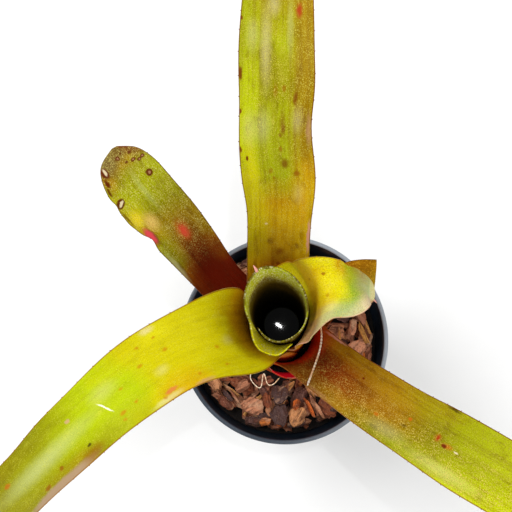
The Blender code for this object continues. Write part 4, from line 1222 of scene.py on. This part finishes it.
def chip_rings(dice, long, broad, thick):
    """Rings of a flat chip whose bark layers stand a little back from one another."""
    outline = chip_outline(dice, long, broad)
    offset = Vector([dice.uniform(-50, 50) for _ in range(3)])
    curl = dice.uniform(-0.5, 0.9) * thick
    rings = []
    cuts = sorted(dice.uniform(0.2, 0.8) for _ in range(LAYERS - 1))
    levels = [0.0] + cuts + [1.0]
    for layer in range(LAYERS):
        pull = Vector((dice.uniform(-0.05, 0.05) * long, dice.uniform(-0.07, 0.07) * broad))
        shrink = 1 - dice.uniform(0.0, 0.10) - 0.04 * (layer == LAYERS - 1)
        for level in levels[layer:layer + 2]:
            rings.append([(point * shrink + pull, level) for point in outline])
    for inset in (0.9, 0.62, 0.3):
        rings.append([(point * inset * shrink + pull, 1.0) for point in outline])
    shaped = []
    for index, ring in enumerate(rings):
        row = []
        for flat, level in ring:
            ridge = noise.noise(Vector((flat.x * 90, flat.y * 800, level * 3)) + offset)
            lump = noise.noise(Vector((flat.x * 260, flat.y * 260, level)) + offset)
            rough = (0.30 * ridge + 0.28 * lump) * thick * (1.0 if index > 2 * LAYERS - 2 else 0.3)
            bend = curl * (2 * flat.y / broad) ** 2
            row.append(Vector((flat.x, flat.y, (level - 0.5) * thick + rough - bend)))
        shaped.append(row)
    return shaped


class Heap:
    """Chips dropped one after another, each lying on what is already there."""

    def __init__(self):
        self.dice = random.Random(BARK_SEED)
        cells = int(2 * BARK_REACH / CELL)
        axis = (np.arange(cells) + 0.5) * CELL - BARK_REACH
        self.grid_x, self.grid_y = np.meshgrid(axis, axis, indexing="ij")
        self.ground = np.full((cells, cells), BARK_LEVEL)
        self.verts, self.faces, self.tones, self.places = [], [], [], []

    def drop(self, x, y, yaw, long, broad, thick, tone, tilt=0.4, top=BARK_TOP):
        """Lay one chip; it is left out where it would leave the pot or crowd the stem."""
        dice = self.dice
        ahead = Vector((math.cos(yaw), math.sin(yaw)))
        beside = Vector((-ahead.y, ahead.x))
        ends = [Vector((x, y)) + ahead * s * long / 2 + beside * t * broad / 2
                for s in (-0.95, 0, 0.95) for t in (-0.95, 0, 0.95)]
        farthest = max(end.length for end in ends)
        if farthest > BARK_REACH - 0.0004 or min(end.length for end in ends) < STEM_CLEAR:
            return
        u = (self.grid_x - x) * ahead.x + (self.grid_y - y) * ahead.y
        v = (self.grid_x - x) * beside.x + (self.grid_y - y) * beside.y
        inside = np.maximum(np.abs(2 * u / long), np.abs(2 * v / broad)) < 0.86
        if inside.sum() < 6:
            return
        terms = np.column_stack([u[inside], v[inside], np.ones(inside.sum())])
        slopes = np.linalg.lstsq(terms, self.ground[inside], rcond=None)[0][:2]
        slope_u, slope_v = np.clip(slopes + [dice.uniform(-0.14, 0.14) for _ in range(2)],
                                   -tilt, tilt)
        plane = slope_u * u + slope_v * v
        level = np.percentile((self.ground - plane)[inside], 85) + thick * 0.4
        reach = abs(slope_u) * long / 2 + abs(slope_v) * broad / 2
        if level + reach + thick * 0.9 > top:
            return
        self.ground[inside] = np.maximum(self.ground, plane + level + thick * 0.4)[inside]
        lean = Vector((-(slope_u * ahead.x + slope_v * beside.x),
                       -(slope_u * ahead.y + slope_v * beside.y), 1)).normalized()
        turn = (Vector((0, 0, 1)).rotation_difference(lean).to_matrix()
                @ Matrix.Rotation(yaw, 3, "Z"))
        first = len(self.verts)
        shift = Vector([dice.uniform(0, 0.5) for _ in range(3)])
        shade = (min(1.0, max(0.03, tone + dice.uniform(-0.08, 0.08))), dice.random(),
                 dice.random())
        rings = chip_rings(dice, long, broad, thick)
        for ring in rings:
            for point in ring:
                self.verts.append(turn @ point + Vector((x, y, level)))
                self.places.append(point + shift)
        self.faces += ring_faces(np.zeros((len(rings), OUTLINE_POINTS)), first)
        self.tones += [shade] * (len(rings) * OUTLINE_POINTS)

    def add(self, points, faces, shade):
        """Add loose geometry in one tone."""
        first = len(self.verts)
        self.verts += points
        self.places += points
        self.tones += [shade] * len(points)
        self.faces += [[first + corner for corner in face] for face in faces]


def make_bark():
    """Fill the pot with chance chips, then the chips that show, then the mix under them."""
    heap = Heap()
    dice = heap.dice
    for count, lengths, breadths, thicknesses, tones, zone in CHIP_KINDS:
        for _ in range(count):
            long = dice.uniform(*lengths) * MM
            bearing = dice.uniform(0, 2 * math.pi)
            if zone == "wall":
                reach = BARK_REACH - dice.uniform(0.002, 0.009)
                yaw = bearing + math.pi / 2 + dice.uniform(-0.35, 0.35)
            else:
                reach = math.sqrt(dice.uniform(STEM_CLEAR**2, BARK_REACH**2))
                yaw = dice.uniform(0, 2 * math.pi)
            heap.drop(*polar(reach, bearing), yaw, long, long * dice.uniform(*breadths),
                      dice.uniform(*thicknesses) * MM, dice.choice(tones))
    for x, y, yaw, long, broad, thick, tone in SHOWN_CHIPS:
        heap.drop(x * MM, y * MM, math.radians(yaw), long * MM, broad * MM, thick * MM, tone,
                  tilt=0.2, top=SHOWN_TOP)
    add_bed(heap)
    mesh = mesh_with("bark_heap", heap.verts, heap.faces, chip_tone=heap.tones,
                     chip_place=heap.places)
    add_piece("fine_bark_mix", tidy_mesh(mesh, 24), "bark_mix", bark_material())


def add_bed(heap):
    """The crumbly potting mix under the chips, down to the pot's floor, in the bed's tone: dark
    brown made near black as painted shade in the gaps between chips.
    """
    gap = WALL + 0.0006
    heel = HEEL_HEIGHT + FLOOR
    rings = [(r * BED_CELL, BARK_LEVEL) for r in range(BED_RINGS)]
    rings += [(0.0553, 0.080), (wall_radius(0.04) - gap, 0.040), (wall_radius(heel) - gap, heel),
              (0.038, BED_FOOT), (0.0, BED_FOOT)]
    steps = 180
    points, loops = [], []
    for radius, height in rings:
        loop = []
        for k in range(steps if radius else 1):
            angle = 2 * math.pi * k / steps
            place = Vector((math.cos(angle), math.sin(angle), 0)) * radius
            crumb = noise.noise(place * 420) if height == BARK_LEVEL else 0.0
            loop.append(len(points))
            points.append(place + Vector((0, 0, height + BED_CRUMB * crumb)))
        loops.append(loop)
    faces = []
    for low, high in zip(loops, loops[1:]):
        for k in range(steps):
            after = (k + 1) % steps
            if len(low) == 1:
                faces.append([low[0], high[k], high[after]])
            elif len(high) == 1:
                faces.append([low[k], high[0], low[after]])
            else:
                faces.append([low[k], high[k], high[after], low[after]])
    heap.add(points, faces, (0.0, 0.0, 0.0))


def bark_material():
    """Each chip has its own tone, with layers that run along it and pale split faces; the bed under
    them is near black, painted shade in the gaps.
    """
    g = Graph("bark_chips")
    tone, split, damp = g.split(g.attribute("chip_tone"))
    place = g.attribute("chip_place")
    layers = g.noise(place, (110.0, 620.0, 900.0), 4, 0.65)
    crumbs = g.noise(place, 1500, 3, 0.6)
    patches = g.noise(place, 190, 3)
    # Tone 0 is the bed under the chips: its dark brown is made near black as painted shade in the
    # gaps between chips.
    colour = g.ramp(tone, [
        (0.0, srgb(34, 20, 16)), (DARK, srgb(100, 76, 74)), (RUSSET, srgb(136, 70, 40)),
        (DUSTY, srgb(150, 94, 70)), (TAN_BARK, srgb(208, 142, 106)),
        (GOLDEN, srgb(204, 146, 74)), (ORANGE_BARK, srgb(204, 98, 34))])
    colour = g.mix(g.step(layers, 0.34, 0.60, 0.8, 0.0), colour, srgb(66, 34, 22))
    colour = g.mix(g.times(g.step(patches, 0.50, 0.66), g.step(split, 0.2, 0.9)),
                   colour, srgb(196, 150, 118))
    colour = g.tint(colour, srgb(86, 52, 40), patches, 0.44, 0.30, 0.55)
    colour = g.tint(colour, srgb(206, 168, 140), crumbs, 0.60, 0.72, 0.5)
    colour = g.tint(colour, srgb(36, 20, 14), crumbs, 0.44, 0.30, 0.7)
    # Painted shade: the bed below the lowest chip tone is darkened further to near black.
    colour = g.tint(colour, srgb(20, 13, 10), tone, 0.02, 0.0)
    g.bump(g.plus(layers, g.times(crumbs, 0.6)), 0.8, 0.0007)
    return g.finish(colour, g.step(damp, 0.0, 1.0, 0.7, 0.9), Specular_IOR_Level=0.2)


# Rootstock and water

def make_rootstock(stem):
    """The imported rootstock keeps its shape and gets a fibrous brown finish."""
    g = Graph("rootstock_bark")
    spot = g.position()
    fibres = g.noise(spot, (900.0, 900.0, 60.0), 4, 0.6)
    colour = g.ramp(fibres, [(0.3, srgb(46, 30, 18)), (0.5, srgb(98, 68, 40)),
                             (0.7, srgb(150, 116, 76))])
    g.bump(fibres, 0.8, 0.0008)
    stem.data.materials.clear()
    stem.data.materials.append(g.finish(colour, 0.8, Specular_IOR_Level=0.25))


def water_material():
    """Dark tank water with a little leaf litter, smooth enough for one clear glint."""
    g = Graph("tank_water_surface")
    spot = g.position()
    litter = g.noise(spot, 420, 3)
    swell = g.noise(spot, 60, 1)
    colour = g.tint(srgb(2, 4, 4), srgb(10, 11, 7), litter, 0.4, 0.7)
    g.bump(swell, 0.25, 0.0015)
    return g.finish(colour, 0.04, Specular_IOR_Level=0.1)


def make_water():
    """Level water in the leaning tube, with a meniscus at the leaf."""
    bm = bmesh.new()
    low = INNER_BASE + 2
    gap = 0.5
    loops = []
    steps = 96
    for height, shrink, level in (
            (low, gap, False), (WATER_LEVEL - 3, gap, False), (WATER_LEVEL, gap, True),
            (WATER_LEVEL - 0.35, gap + 0.5, True), (WATER_LEVEL - 0.45, gap + 1.2, True)):
        loop = []
        for k in range(steps):
            flat = polar(tube_radius(height, 0) - shrink, 2 * math.pi * k / steps)
            world = AXIS @ (Vector((*flat, height)) * MM)
            if level:
                world.z = (AXIS @ (Vector((0, 0, height)) * MM)).z
            loop.append(bm.verts.new(world))
        loops.append(loop)
    for under, over in zip(loops, loops[1:]):
        for k in range(steps):
            after = (k + 1) % steps
            bm.faces.new((under[k], under[after], over[after], over[k]))
    bm.faces.new(loops[0][::-1])
    inner = loops[-1]
    middle = bm.verts.new(sum((vert.co for vert in inner), Vector()) / steps)
    for k in range(steps):
        bm.faces.new((inner[k], inner[(k + 1) % steps], middle))
    mesh = tidy_mesh(mesh_from("water_body", bm), 60)
    add_piece("fine_tank_water", mesh, "tank_water", water_material())


# Stage: the lamps are (name, place, size, power)

LAMPS = [
    ("key", (-0.9, 0.5, 1.3), 0.8, 17.0),
    ("fill", (1.0, 0.3, 1.2), 1.0, 8.0),
    ("front", (0.1, -1.2, 1.2), 1.0, 8.0),
]
LAMP_TARGET = (0.0, 0.0, 0.12)
SKY_STRENGTH = 0.42
FLOOR_REACH = 3.0

# A small lamp whose only work is the glint on the water
GLINT_PLACE = (0.027, 0.089, 1.146)
GLINT_SIZE = 0.02
GLINT_POWER = 0.8


def add_lamp(name, place, size, power):
    """A square lamp that faces the plant."""
    lamp = bpy.data.lights.new(name, "AREA")
    lamp.size = size
    lamp.energy = power
    lamp_object = link(name, lamp)
    lamp_object.location = place
    aim = Vector(LAMP_TARGET) - Vector(place)
    lamp_object.rotation_euler = aim.to_track_quat("-Z", "Y").to_euler()
    return lamp


def make_stage():
    """A plain pale floor under soft, even light."""
    corners = [(x * FLOOR_REACH, y * FLOOR_REACH, 0)
               for x, y in ((-1, -1), (1, -1), (1, 1), (-1, 1))]
    mesh = mesh_with("floor", corners, [(0, 1, 2, 3)])
    g = Graph("floor_paper")
    mottle = g.noise(g.position(), 40, 3)
    mesh.materials.append(g.finish(g.mix(mottle, (0.90, 0.90, 0.90), (0.92, 0.92, 0.92)), 0.9,
                                   Specular_IOR_Level=0.0))
    link("floor", mesh)

    world = bpy.data.worlds.new("studio")
    world.use_nodes = True
    background = world.node_tree.nodes["Background"]
    background.inputs["Color"].default_value = (1.0, 1.0, 1.0, 1.0)
    background.inputs["Strength"].default_value = SKY_STRENGTH
    bpy.context.scene.world = world
    for lamp in LAMPS:
        add_lamp(*lamp)
    glint = add_lamp("glint", GLINT_PLACE, GLINT_SIZE, GLINT_POWER)
    glint.diffuse_factor = 0.0


def make_camera():
    """The photo's view, from above and a little to the south-west."""
    camera = bpy.data.cameras.new("camera")
    camera.sensor_width = SENSOR_WIDTH
    camera.lens = CAMERA_LENS
    camera_object = link("camera", camera)
    camera_object.location = CAMERA_PLACE
    camera_object.rotation_euler = (CAMERA_TILT, 0, 0)
    bpy.context.scene.camera = camera_object
    bpy.context.scene.view_settings.view_transform = "Standard"


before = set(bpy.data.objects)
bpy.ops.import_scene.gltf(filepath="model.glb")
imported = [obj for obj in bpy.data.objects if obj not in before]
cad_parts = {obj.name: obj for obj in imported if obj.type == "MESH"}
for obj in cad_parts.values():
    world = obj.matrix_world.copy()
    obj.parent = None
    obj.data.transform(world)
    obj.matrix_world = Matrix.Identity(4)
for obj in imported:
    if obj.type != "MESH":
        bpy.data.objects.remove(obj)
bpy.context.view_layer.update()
make_camera()
make_stage()
make_pot()
make_bark()
make_rootstock(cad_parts["rootstock"])
make_centre_leaf()
leaf_sheets = make_leaves()
make_fibres(leaf_sheets["leaf_5_southeast"])
make_water()
